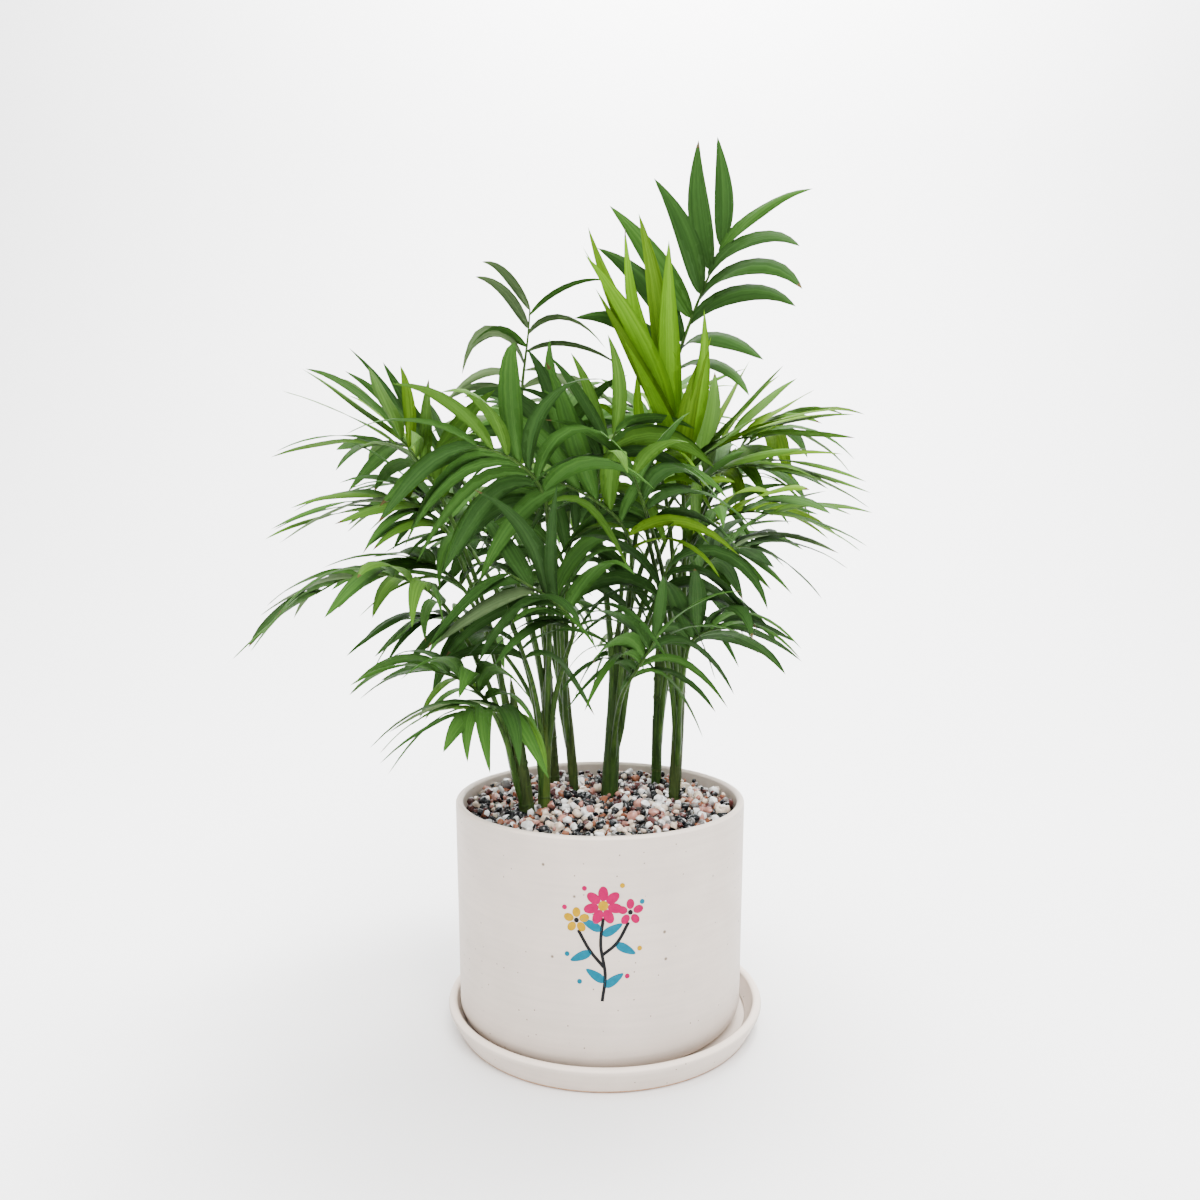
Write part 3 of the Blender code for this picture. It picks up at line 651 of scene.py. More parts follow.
# %% Leaflets of the rule
# Driving dimensions of the leaflets: angles from the rib in degrees, and sizes as shares of a leaflet's
# length. A leaflet that hasn't opened is still folded, which narrows it down to the share FOLDED.
# LEAF_ROUND holds the powers of the outline's swell at the root and at the tip, and LEAF_SKYWARD turns the
# upper faces to the sky. The two leaflets of a pair don't start level: each is PAIR_STEP of the way between
# two pairs from the middle.
LEAF_STEPS = (0.0, 0.3, 0.68, 1.0)
LEAF_SLENDERNESS = 0.2
LEAF_WIDEST = 12.5 * MM
LEAF_STALK = 0.7 * MM
LEAF_THICKNESS = 1 / 80
LEAF_RAISE = 0.32
LEAF_ROUND = (0.65, 1.12)
LEAF_SKYWARD = 1.0
BOW_STEPS = 8
BOW_POWER = 1.0
SPREAD_FOOT = 64
SPREAD_TIP = 25
DROOP_FOOT = 1.3
DROOP_TIP = 0.7
END_SIZE = 0.8
PAIR_STEP = 0.15
LAST_PAIR = 0.3
FOLDED = 0.85

# How much finer the leaflets are than those of the solids: more pairs, each narrower and drawn out to a
# longer tip. The numbers are factors for the pairs, the width and the length of the solids' leaflets. The
# leaflets of the highest frond and of the half-open one are as few and as broad as the solids' ones.
Finer = namedtuple("Finer", "pairs width length")
FINER = Finer(1.35, 0.95, 1.06)
FINER_BY_FROND = {
    "top_right": Finer(1.0, 1.0, 1.0),
    "spear": Finer(1.0, 1.0, 1.0),
    "top_left": Finer(1.2, 0.6, 1.05),
    "left_fan": Finer(1.1, 0.8, 1.06),
    "left_foot": Finer(1.15, 0.85, 1.08),
    "left_up": Finer(1.35, 0.95, 1.14),
    "left_high": Finer(1.45, 0.95, 1.12),
    "left_mid": Finer(1.45, 0.9, 1.12),
}

# How far each leaflet may differ from the rule
CHANCE_SPREAD = 5
CHANCE_RAISE = 0.1
CHANCE_TWIST = 22
CHANCE_SIZE = 0.07
CHANCE_DROOP = 0.4


def finer(frond):
    return FINER_BY_FROND.get(frond.name, FINER)


def leaf_at(frond, rib, share, hand, chance, turn, lift, size):
    """One leaflet, on one hand of the rib. Turn, lift and size change it from the rule, to get it clear."""
    point, way, side = along_blade(rib, share)
    way.normalize()
    side.normalize()
    face = way.cross(side)
    spread = mixed((SPREAD_FOOT, SPREAD_TIP), 0, share) + chance.uniform(-CHANCE_SPREAD, CHANCE_SPREAD)
    spread = math.radians(spread * frond.open + turn)
    raised = LEAF_RAISE + chance.uniform(-CHANCE_RAISE, CHANCE_RAISE) + lift
    along = (way * math.cos(spread) + side * hand * math.sin(spread) + face * raised).normalized()
    sky = (face if face.z > 0 else -face) + UP * LEAF_SKYWARD
    twist = math.radians(chance.uniform(-CHANCE_TWIST, CHANCE_TWIST))
    across = Matrix.Rotation(twist, 3, along) @ sky.cross(along).normalized()
    swell = mixed((END_SIZE, 1), 0, math.sin(math.pi * share))
    swell *= chance.uniform(1 - CHANCE_SIZE, 1 + CHANCE_SIZE)
    length = frond.leaf * MM * swell * size * finer(frond).length
    width = min(frond.leaf * MM * LEAF_SLENDERNESS, LEAF_WIDEST) * swell * finer(frond).width
    width *= mixed((FOLDED, 1), 0, min(frond.open, 1))
    droop = frond.droop * mixed((DROOP_FOOT, DROOP_TIP), 0, share) * math.hypot(along.x, along.y)
    droop *= chance.uniform(1 - CHANCE_DROOP, 1 + CHANCE_DROOP)
    return Leaf(point, along, across, length, width, droop)


def leaf_way(leaf, share):
    """The midrib's direction, which bows over more and more under the leaflet's weight."""
    return (leaf.along - UP * (leaf.droop * share ** BOW_POWER)).normalized()


def leaf_midrib(leaf):
    """The midrib as BOW_STEPS short steps along its changing way."""
    points = [leaf.root]
    for step in range(BOW_STEPS):
        points.append(points[-1] + leaf_way(leaf, (step + 0.5) / BOW_STEPS) * (leaf.length / BOW_STEPS))
    return points


def leaf_width(leaf, share):
    """Drawn in to a stalk at the root, widest before the middle, and drawn out to the tip."""
    a, b = LEAF_ROUND
    widest = a / (a + b)
    return LEAF_STALK + leaf.width * (share / widest) ** a * ((1 - share) / (1 - widest)) ** b


def leaf_station(leaf, midrib, share):
    """The blade's middle at a share of its length, its way there and the direction across it."""
    place = min(int(share * BOW_STEPS), BOW_STEPS - 1)
    middle = midrib[place].lerp(midrib[place + 1], share * BOW_STEPS - place)
    way = leaf_way(leaf, share)
    return middle, way, leaf.along.rotation_difference(way) @ leaf.across


def leaf_solid(leaf, grow=0.0, start=0.0):
    """Points and faces of the leaflet as a thin three-sided blade, widened by grow, from start on."""
    midrib = leaf_midrib(leaf)
    points = []
    for step in LEAF_STEPS[:-1]:
        share = max(start, step)
        middle, way, across = leaf_station(leaf, midrib, share)
        face = way.cross(across)
        half = leaf_width(leaf, share) / 2 + grow
        ridge = min(leaf.length * LEAF_THICKNESS, half) + grow
        under = middle - face * grow
        points += [under + across * half, middle + face * ridge, under - across * half]
    points.append(midrib[-1] + leaf_way(leaf, 1) * grow)
    faces = [(2, 1, 0)]
    rows = len(LEAF_STEPS) - 2
    for row in range(rows):
        for i in range(3):
            j = (i + 1) % 3
            faces.append((row * 3 + i, row * 3 + j, row * 3 + 3 + j))
            faces.append((row * 3 + i, row * 3 + 3 + j, row * 3 + 3 + i))
    tip = len(points) - 1
    faces += [(rows * 3 + i, rows * 3 + (i + 1) % 3, tip) for i in range(3)]
    return points, faces

# %% [markdown]
# Now the plant grows: every stalk first, and then the leaflets, frond by frond. A seed made from the
# frond's name gives each frond its own chance, and the same one in every run.

# %% Grow the plant
def seated_rib(frond, cane, nudge, shift, clump):
    """The rib at the closest seat on its cane that is clear of every cane, or None."""
    for seat in STALK_SEATS:
        rib = rib_path(frond, cane, nudge, shift, seat)
        if clump.is_clear(None, *rib_tube(rib, CANE_CLEARANCE)):
            return rib
    return None


def grow_stalks(space):
    """The rib of each frond by name, at the first try that is clear of the canes and of the other ribs."""
    clump = Space()
    for cane in CANES:
        clump.add(cane.name, *cane_tube(cane))
    ribs = {}
    for frond in FRONDS:
        for nudge, shift in STALK_TRIES:
            rib = seated_rib(frond, CANES_BY_NAME[frond.cane], nudge, shift, clump)
            if rib and space.is_clear(frond.name, *rib_tube(rib, CLEARANCE)):
                ribs[frond.name] = rib
                space.add(frond.name, *rib_tube(rib))
                break
    space.taken += clump.taken
    return ribs


def grow_leaves(frond, rib, space):
    """The frond's leaflets, each at the first try that is clear of other pieces and of the frond's others."""
    chance = random.Random(frond.name)
    leaves = []
    own = Space()
    pairs = round(frond.pairs * finer(frond).pairs)
    for pair in range(pairs):
        for hand in (-1, 1):
            share = min(1.0, (pair + 0.5 + PAIR_STEP * hand) / (pairs - LAST_PAIR))
            state = chance.getstate()
            for turn, lift, size in LEAF_TRIES:
                chance.setstate(state)
                leaf = leaf_at(frond, rib, share, hand, chance, turn, lift, size)
                if space.is_clear(frond.name, *leaf_solid(leaf, LEAF_CLEARANCE)) and own.is_clear(
                        None, *leaf_solid(leaf, GAP, LEAF_FREE)):
                    if frond.open > STILL_JOINED:
                        own.add(len(leaves), *leaf_solid(leaf, 0.0, LEAF_FREE))
                    space.add(frond.name, *leaf_solid(leaf))
                    leaves.append(leaf)
                    break
    return leaves


space = Space()
ribs = grow_stalks(space)
grown_fronds = [frond for frond in FRONDS if frond.name in ribs]
leaves = {frond.name: grow_leaves(frond, ribs[frond.name], space) for frond in grown_fronds}
print(len(ribs), "fronds with", sum(len(grown) for grown in leaves.values()), "leaflets")

# %% [markdown]
# A leaflet's finish has three things: fine veins that run its whole length, a faint shine on its waxy skin,
# and a colour that is deepest at the foot and along the edges, and paler on the underside. The paler
# underside is partly the leaf's own paler colour and partly painted light that shines through the thin
# blade. The veins follow the leaflet, so they read its own UV map, in which u runs across it and v along
# it. Each tint is a material of its own and is dealt out by the leaflet, so old and young leaves differ as
# they do on the plant.

# %% Leaf materials
LEAF_UV = "leaf"
LEAF_TONE = "tone"
LEAF_UNDER = "under"
VEIN_STRETCH = (9, 0.5, 1)
# The underside is paler: partly the leaf's own paler colour, partly painted light shining through the blade.
UNDER_SHARE = 1.05
UNDER_GREY = 0.004

# Each tint with its slot and its colour
LEAF_TINTS = {
    "deep": ("leaf_dark", (0.017, 0.045, 0.01)),
    "dark": ("leaf_dark", (0.022, 0.059, 0.012)),
    "middle": ("leaf_middle", (0.032, 0.087, 0.014)),
    "fresh": ("leaf_fresh", (0.048, 0.117, 0.013)),
    "bright": ("leaf_fresh", (0.073, 0.158, 0.006)),
    "young": ("leaf_young", (0.094, 0.225, 0.007)),
    "grey": ("leaf_dark", (0.075, 0.12, 0.05)),
}


def leaf_material(name, colour, roughness=0.58):
    finish = Finish(name, roughness, specular=0.02)
    uv = finish.node("UVMap", {})
    uv.uv_map = LEAF_UV
    veins = finish.noise(uv.outputs["UV"], scale=1.0, detail=3, stretch=VEIN_STRETCH)
    body = finish.ramp(finish.attribute(LEAF_TONE), (0.0, toned(colour, 0.62)), (1.0, toned(colour, 1.35)))
    pale = tuple(value * UNDER_SHARE + UNDER_GREY for value in colour)
    sides = finish.mix(finish.attribute(LEAF_UNDER), body, pale)
    streak = finish.ramp(veins, (0.35, (0.8, 0.82, 0.8)), (0.65, (1.22, 1.18, 1.12)))
    finish.colour(finish.mix(1.0, sides, streak, "MULTIPLY"))
    finish.bump(veins, 0.25 * MM)
    return finish.material


LEAF_MATERIALS = {tint: leaf_material("leaf_" + tint, colour) for tint, (slot, colour) in LEAF_TINTS.items()}
DRY_TIP = leaf_material("leaf_dry_tip", (0.06, 0.045, 0.018), roughness=0.7)
print("leaf tints", sorted(LEAF_MATERIALS))

# %% [markdown]
# One leaflet is a thin closed blade. Its ring has five points over the top and one under it, so the top can
# be cupped near the foot and arched towards the tip, and eleven rings follow the midrib. A subdivided plane
# would curve as well, but hundreds of them must stay light, so each has only a few dozen faces and its
# shading is smooth. The long edges are sharp, which keeps the light on the top apart from that on the
# underside.

# %% Shape of one leaflet
RINGS = (0.0, 0.03, 0.09, 0.17, 0.27, 0.38, 0.5, 0.62, 0.74, 0.85, 0.94)
ACROSS = (-1, -0.5, 0, 0.5, 1)
RING_POINTS = len(ACROSS) + 1

# The midrib's lift over the blade and the depth of the point under it, each of them also as the most that
# it may be of the blade's half width there
MIDRIB_LIFT = 0.12 * MM
MIDRIB_SHARE = 0.2
LEAF_BODY = 0.35 * MM
BODY_SHARE = 0.5

# The cup changes to an arch at this pace along the leaflet
CUP_FOOT = 0.5
CUP_TIP = -0.25
CUP_PACE = 1.6

# How dark or light the blade is, and how far its veins are shifted from those of the next one
TONE_FOOT = 0.15
TONE_TIP = 0.75
TONE_EDGE = 0.3
VEIN_SHIFT = 10

# How far each leaflet may differ from the others
CUP_CHANCE = 0.2
SICKLE = 0.08
TWIST = 38
TONE_CHANCE = 0.18

Patch = namedtuple("Patch", "points faces uvs tones unders")
Look = namedtuple("Look", "cup sickle twist slim tone seed")


def leaf_look(chance, slimmest):
    return Look(chance.uniform(-CUP_CHANCE, CUP_CHANCE), chance.uniform(-SICKLE, SICKLE),
                chance.uniform(-TWIST, TWIST), chance.uniform(slimmest, 1),
                chance.uniform(-TONE_CHANCE, TONE_CHANCE), chance.random())


def eased(share):
    return share * share * (3 - 2 * share)


def leaf_ring(leaf, look, midrib, share):
    """The ring of points round the leaflet at a share of its length."""
    middle, way, across = leaf_station(leaf, midrib, share)
    across = Matrix.Rotation(math.radians(look.twist * share), 3, way) @ across
    face = way.cross(across)
    middle = middle + across * (look.sickle * leaf.length * share * (1 - share) * 4)
    half = leaf_width(leaf, share) / 2 * look.slim
    cup = mixed((CUP_FOOT, CUP_TIP), 0, eased(min(1.0, share * CUP_PACE))) + look.cup
    lift = min(MIDRIB_LIFT, half * MIDRIB_SHARE)
    ring = [middle + across * (half * u) + face * (half * cup * u * u + lift * (u == 0)) for u in ACROSS]
    return ring + [middle - face * min(LEAF_BODY, half * BODY_SHARE)]


def leaf_patch(leaf, look, rings=RINGS, pointed=True):
    """The leaflet from its first ring to its tip, or cut off at its last ring."""
    midrib = leaf_midrib(leaf)
    shift = look.seed * VEIN_SHIFT
    points, uvs, tones = [], [], []
    for share in rings:
        points += leaf_ring(leaf, look, midrib, share)
        uvs += [((u + 1) / 2 + shift, share) for u in ACROSS + (0,)]
        middle = mixed((TONE_FOOT, TONE_TIP), 0, share) + look.tone
        tones += [middle - TONE_EDGE * u * u for u in ACROSS + (0,)]
    faces = [tuple(range(RING_POINTS))]
    top = (len(rings) - 1) * RING_POINTS
    for a in range(0, top, RING_POINTS):
        b = a + RING_POINTS
        for i in range(RING_POINTS):
            j = (i + 1) % RING_POINTS
            faces.append((a + i, b + i, b + j, a + j))
    if pointed:
        points.append(midrib[-1])
        uvs.append((0.5 + shift, 1.0))
        tones.append(TONE_TIP + look.tone)
        faces += [(top + i, len(points) - 1, top + (i + 1) % RING_POINTS) for i in range(RING_POINTS)]
    else:
        faces.append(tuple(reversed(range(top, top + RING_POINTS))))
    unders = [float(i % RING_POINTS == len(ACROSS)) for i in range(len(points))]
    return Patch(points, faces, uvs, tones, unders)

# %% [markdown]
# All leaflets of one tint become one mesh. Their points are laid end to end and their faces count on from
# there, which is much faster than joining hundreds of objects. The stalks and the stones are joined in the
# same way.

# %% Join many parts
LEAF_SHARP = 60


def joined_mesh(name, parts, angle):
    """One mesh of many parts. Each part starts with its points and its faces."""
    points, faces = [], []
    for part in parts:
        first = len(points)
        points += part[0]
        faces += [tuple(first + i for i in face) for face in part[1]]
    mesh = bpy.data.meshes.new(name)
    mesh.from_pydata(points, [], faces)
    return smoothed(mesh, angle)


def leaflets_mesh(name, patches):
    """The mesh of many leaflets, with the UV map and the attributes that their material reads."""
    mesh = joined_mesh(name, patches, LEAF_SHARP)
    corners = np.empty(len(mesh.loops), dtype=np.int32)
    mesh.loops.foreach_get("vertex_index", corners)
    uvs = np.concatenate([patch.uvs for patch in patches]).astype(np.float32)
    mesh.uv_layers.new(name=LEAF_UV).uv.foreach_set("vector", uvs[corners].ravel())
    for attribute, values in ((LEAF_TONE, [patch.tones for patch in patches]),
                              (LEAF_UNDER, [patch.unders for patch in patches])):
        made = mesh.attributes.new(attribute, "FLOAT", "POINT")
        made.data.foreach_set("value", np.clip(np.concatenate(values).astype(np.float32), 0, 1))
    return mesh

# %% [markdown]
# Which tint a leaflet gets depends on its frond: the half-open frond is yellow-green, the high outer ones
# are fresh, and the inner ones are dark. Each frond mixes two to four near tints, so its leaflets differ a
# little. Some have a dry tip, which is cut from the leaflet at its last ring and joins a piece of its own.

# %% Deal out the leaflets
TINT_SHARES = {
    "young": {"young": 0.7, "bright": 0.3},
    "ripening": {"bright": 0.5, "fresh": 0.35, "young": 0.15},
    "fresh": {"fresh": 0.5, "middle": 0.3, "bright": 0.2},
    "middle": {"middle": 0.5, "dark": 0.25, "fresh": 0.2, "grey": 0.05},
    "dark": {"dark": 0.5, "deep": 0.25, "middle": 0.2, "grey": 0.05},
    "shaded": {"dark": 0.7, "middle": 0.3},
    "worn": {"grey": 0.8, "middle": 0.2},
}

# Fronds that are seen in other light or are of another age than the tint of their solid says
SEEN_TINTS = {
    "top_right": "shaded", "front_left": "middle", "right_mid": "fresh", "right_inner": "fresh",
    "right_young": "ripening", "top_left": "worn", "left_droop": "middle", "left_fan": "middle",
    "left_foot": "middle",
}

# The slimmest that a leaflet may be by chance, as a share of its full width, and the same in the even
# fronds
SLIMMEST = 0.58
SLIMMEST_EVEN = 0.9
EVEN_FRONDS = ("top_right", "spear")
DRY_SHARE = 0.22


def deal_tint(frond, chance):
    shares = TINT_SHARES[SEEN_TINTS.get(frond.name, frond.tint)]
    return chance.choices(list(shares), list(shares.values()))[0]


leaf_patches = {tint: [] for tint in LEAF_TINTS}
leaf_owners = {tint: set() for tint in LEAF_TINTS}
dry_patches = []
for frond in grown_fronds:
    chance = random.Random("finish " + frond.name)
    for leaf in leaves[frond.name]:
        tint = deal_tint(frond, chance)
        look = leaf_look(chance, SLIMMEST_EVEN if frond.name in EVEN_FRONDS else SLIMMEST)
        if chance.random() < DRY_SHARE:
            leaf_patches[tint].append(leaf_patch(leaf, look, RINGS, pointed=False))
            dry_patches.append(leaf_patch(leaf, look, RINGS[-1:]))
        else:
            leaf_patches[tint].append(leaf_patch(leaf, look))
        leaf_owners[tint].add("frond_" + frond.name)

for tint, (slot, colour) in LEAF_TINTS.items():
    if leaf_patches[tint]:
        add_piece(leaflets_mesh("leaflets_" + tint, leaf_patches[tint]), [LEAF_MATERIALS[tint]], slot,
                  sorted(leaf_owners[tint]))
add_piece(leaflets_mesh("leaflets_dry", dry_patches), [DRY_TIP], "leaf_middle")

# %% [markdown]
# A stalk is round and smooth, thickest where it leaves its cane and as thin as a wire at the blade's tip. A
# curve object with a bevel could make it too, but the rule already gives the path, so rings round a smooth
# curve through its points are enough. The curve is a Catmull-Rom one, which passes through every point. It
# starts inside the sleeve that wraps the cane, so that the stalk grows out of it.

# %% Smooth curve through points
def smooth_path(points, steps):
    """Points on a smooth curve through the given ones, with steps of them for each stretch."""
    ends = [points[0] * 2 - points[1]] + list(points) + [points[-1] * 2 - points[-2]]
    path = []
    for before, start, end, after in zip(ends, ends[1:], ends[2:], ends[3:]):
        for step in range(steps):
            t = step / steps
            square = (before * 2 - start * 5 + end * 4 - after) * t ** 2
            cube = (start * 3 - before - end * 3 + after) * t ** 3
            path.append(0.5 * (start * 2 + (end - before) * t + square + cube))
    return path + [points[-1]]


def path_ways(path):
    ends = [path[0]] + list(path) + [path[-1]]
    return [(after - before).normalized() for before, after in zip(ends, ends[2:])]

# %% Stalk material
def stalk_material(name, colour, roughness=0.5):
    finish = Finish(name, roughness, specular=0.08)
    place = finish.place()
    fibres = finish.noise(place, scale=750, detail=3, stretch=(1, 1, 0.05))
    blotches = finish.noise(place, scale=60, detail=3, stretch=(1, 1, 0.5))
    body = finish.ramp(blotches, (0.3, toned(colour, 0.75)), (0.7, toned(colour, 1.25)))
    streak = finish.ramp(fibres, (0.35, (0.66, 0.7, 0.7)), (0.65, (1.35, 1.3, 1.15)))
    finish.colour(finish.mix(1.0, body, streak, "MULTIPLY"))
    finish.bump(fibres, 0.1 * MM)
    return finish.material


STALK_GREEN = stalk_material("stalk_green", (0.025, 0.056, 0.01))

# %% Stalks
FINE_STALK_SIDES = 8
FINE_STEPS = 3
STALK_SHARP = 60
STALK_ROOT = 16 * MM
STALK_INSET = 0.55
LOWEST_START = 1 * MM

# The stalk's radius in millimetres at shares of its length
STALK_RADII = {0.0: 1.3, 0.09: 1.8, 0.18: 1.5, 0.5: 1.15, 0.75: 0.85, 1.0: 0.45}


def leaving(cane, rib):
    """How far up its cane a stalk leaves it, and the way from the cane's axis to the stalk there."""
    axis = direction(cane.heading, cane.lean)
    off = rib.points[0] - cane_axis(cane, 0)
    node = off.dot(axis)
    return node, off - axis * node


def root_point(cane, rib):
    """A point inside the sleeve, some way below the place where the stalk leaves the cane."""
    node, out = leaving(cane, rib)
    height = max(LOWEST_START, node - STALK_ROOT)
    return cane_axis(cane, height) + out.normalized() * (cane_radius(cane, height) * STALK_INSET)


stalk_parts = []
for frond in grown_fronds:
    rib = ribs[frond.name]
    path = smooth_path([root_point(CANES_BY_NAME[frond.cane], rib)] + rib.points, FINE_STEPS)
    shares = [i / (len(path) - 1) for i in range(len(path))]
    radii = np.interp(shares, list(STALK_RADII), list(STALK_RADII.values())) * MM
    stalk_parts.append(tube(path, path_ways(path), radii.tolist(), FINE_STALK_SIDES, 0.0))
add_piece(joined_mesh("stalks", stalk_parts, STALK_SHARP), [STALK_GREEN], "leaf_middle",
          ["frond_" + name for name in ribs])

# %% [markdown]
# A young palm's cane hardly shows: the feet of its leaves wrap it like sleeves, one over the other, each
# open slantwise where its stalk leaves. Below them the cane is ringed with the scars of older leaves. The
# cane is turned from a section whose small swellings are the scars, and then leaned. The sleeves are open
# tubes that are extruded ring by ring and given a wall.

# %% Canes
CANE_SEGMENTS = 16
CANE_SUNK = 4.0 * MM
CANE_POINT = 5.0 * MM
POINT_SHARE = 0.6

# The bare cane between its scars, and at the gravel, as a share of the solid's radius
CANE_BARE = 0.9
CANE_BARE_FOOT = 0.94

# A scar's swelling at shares of the pitch from its middle. The first pitch and the next ones vary by
# chance, and the last scar stays at least SCAR_LAST of a pitch below the cane's top.
SCAR_PITCH = 11.0 * MM
SCAR_SWELL = 0.45 * MM
SCAR_STEPS = {-0.16: 0.0, -0.06: 0.8, 0.0: 1.0, 0.05: 0.2, 0.12: 0.0}
SCAR_FIRST = (0.4, 0.9)
SCAR_NEXT = (0.8, 1.2)
SCAR_LAST = 0.6


def cane_section(cane, chance):
    """Radius and height pairs from under the gravel to the pointed top, which is a leaf still rolled up."""
    tall = cane.height * MM
    foot = cane_radius(cane, 0)
    section = [(0.0, -CANE_SUNK), (foot, -CANE_SUNK), (foot * CANE_BARE_FOOT, 0.0)]
    height = SCAR_PITCH * chance.uniform(*SCAR_FIRST)
    while height < tall - SCAR_PITCH * SCAR_LAST:
        for step, swell in SCAR_STEPS.items():
            level = height + step * SCAR_PITCH
            if level > section[-1][1]:
                section.append((cane_radius(cane, level) * CANE_BARE + swell * SCAR_SWELL, level))
        height += SCAR_PITCH * chance.uniform(*SCAR_NEXT)
    width = cane_radius(cane, tall) * CANE_TOP
    return section + [(width, tall - CANE_POINT), (width * POINT_SHARE, tall), (0.0, tall + CANE_POINT)]


def lean_matrix(cane):
    """The turn and shift that put an upright piece on the cane's leaning axis."""
    way = direction(cane.heading, cane.lean)
    return Matrix.Translation(cane_axis(cane, 0)) @ UP.rotation_difference(way).to_matrix().to_4x4()


CANE_GREEN = stalk_material("cane_green", (0.03, 0.054, 0.014), roughness=0.55)
for cane in CANES:
    cane_bm = spun(cane_section(cane, random.Random("cane " + cane.name)), CANE_SEGMENTS)
    bmesh.ops.transform(cane_bm, matrix=lean_matrix(cane), verts=cane_bm.verts[:])
    add_piece(mesh_from("ringed_" + cane.name, cane_bm), [CANE_GREEN], "cane", ["cane_" + cane.name])

# %% Sleeves
SLEEVE_SEGMENTS = 14
SLEEVE_ROWS = 7
SLEEVE_BELOW = 30 * MM
SLEEVE_ABOVE = 5 * MM
SLEEVE_SLANT = 7 * MM
SLEEVE_WALL = 0.35 * MM

# A sleeve's radius as a share of its cane's, how much each layer adds to it as a share of the wall, the
# step from one layer to the next, and how far the side with the stalk bulges as a share of the stalk's
# radius
SLEEVE_SEAT = 0.82
SLEEVE_NEST = 0.35
LAYER_STEP = 0.8
SLEEVE_BULGE = 0.8

# Each colour with its chance
SLEEVES = {
    "green": ((0.021, 0.046, 0.01), 0.6),
    "yellow": ((0.038, 0.066, 0.012), 0.3),
    "olive": ((0.032, 0.05, 0.014), 0.1),
}


def extruded_rings(bm, segments, rows):
    """The vertices of a round tube, row by row. They all lie on one circle until they are moved."""
    ring = bmesh.ops.create_circle(bm, cap_ends=False, segments=segments, radius=1.0)["verts"]
    edges = list(dict.fromkeys(edge for vert in ring for edge in vert.link_edges))
    rings = [ring]
    for row in range(rows):
        grown = bmesh.ops.extrude_edge_only(bm, edges=edges)["geom"]
        ring = only(bmesh.types.BMVert, grown)
        edges = [edge for edge in only(bmesh.types.BMEdge, grown) if all(vert in ring for vert in edge.verts)]
        rings.append(ring)
    return rings


def sleeve(bm, cane, node, side, layer):
    """Adds one leaf's foot: a tube round the cane, higher and wider on the side of its stalk."""
    foot = max(LOWEST_START, node - SLEEVE_BELOW)
    rings = extruded_rings(bm, SLEEVE_SEGMENTS, SLEEVE_ROWS)
    for row, ring in enumerate(rings):
        share = row / SLEEVE_ROWS
        for vert in ring:
            out = Vector((vert.co.x, vert.co.y, 0)).normalized()
            near = max(0.0, out.dot(side))
            height = foot + (node + SLEEVE_ABOVE - foot) * share + SLEEVE_SLANT * share ** 3 * (2 * near - 1)
            radius = cane_radius(cane, min(height, cane.height * MM)) * SLEEVE_SEAT
            radius += layer * SLEEVE_WALL * SLEEVE_NEST
            radius += near ** 2 * PETIOLE_RADIUS * SLEEVE_BULGE * eased(share)
            vert.co = out * radius + UP * height
    return [vert for ring in rings for vert in ring]


def sleeves_of(cane, stalks):
    """One bmesh with the cane's sleeves, from the highest, which is innermost, to the lowest."""
    bm = bmesh.new()
    for layer, (node, heading) in enumerate(sorted(stalks, reverse=True)):
        verts = sleeve(bm, cane, node, direction(heading, 90), 1 + layer * LAYER_STEP)
        bmesh.ops.transform(bm, matrix=lean_matrix(cane), verts=verts)
    give_wall(bm, SLEEVE_WALL)
    return bm


SLEEVE_MATERIALS = [stalk_material("sleeve_" + name, colour) for name, (colour, share) in SLEEVES.items()]
SLEEVE_SHARES = [share for colour, share in SLEEVES.values()]
for cane in CANES:
    leavings = [leaving(cane, ribs[frond.name]) for frond in grown_fronds if frond.cane == cane.name]
    stalks = [(node, math.degrees(math.atan2(out.y, out.x))) for node, out in leavings]
    material = random.Random("sleeve " + cane.name).choices(SLEEVE_MATERIALS, SLEEVE_SHARES)[0]
    add_piece(mesh_from("sleeves_" + cane.name, sleeves_of(cane, stalks)), [material], "cane",
              ["cane_" + cane.name])

# %% [markdown]
# The gravel is a mix of small tumbled stones: white, cream, grey, near-black, rust, pink and wine. Such
# stones are convex, with worn faces, so each is the convex hull of a few random points, shaded smooth. Ten
# shapes are enough: turned and scaled by chance, laid in layers and joined by colour, no two neighbours
# look alike.

# %% Chip shapes
CHIP_KINDS = 10
CHIP_POINTS = 20
CHIP_DEPTHS = (0.88, 1.0)


def random_way(chance):
    return Vector([chance.gauss(0, 1) for axis in range(3)])


def chip_shape(chance):
    """Points and faces of one tumbled stone, about one unit in radius."""
    bm = bmesh.new()
    for i in range(CHIP_POINTS):
        way = random_way(chance).normalized()
        bm.verts.new(way * chance.uniform(*CHIP_DEPTHS))
    hull = bmesh.ops.convex_hull(bm, input=bm.verts[:])
    bmesh.ops.delete(bm, geom=only(bmesh.types.BMVert, hull["geom_interior"]), context="VERTS")
    bm.verts.index_update()
    points = np.array([vert.co[:] for vert in bm.verts])
    faces = [tuple(vert.index for vert in face.verts) for face in bm.faces]
    bm.free()
    return points, faces


chip_chance = random.Random("gravel")
CHIP_SHAPES = [chip_shape(chip_chance) for kind in range(CHIP_KINDS)]
print("faces per chip", [len(faces) for points, faces in CHIP_SHAPES])

# %% Stone materials
# Each colour with its weight among the stones
STONES = {
    "cream": ((0.64, 0.52, 0.41), 16),
    "white": ((0.9, 0.88, 0.85), 18),
    "grey": ((0.12, 0.11, 0.105), 10),
    "black": ((0.004, 0.005, 0.007), 30),
    "rust": ((0.25, 0.09, 0.045), 8),
    "pink": ((0.4, 0.18, 0.14), 8),
    "wine": ((0.07, 0.02, 0.018), 10),
}


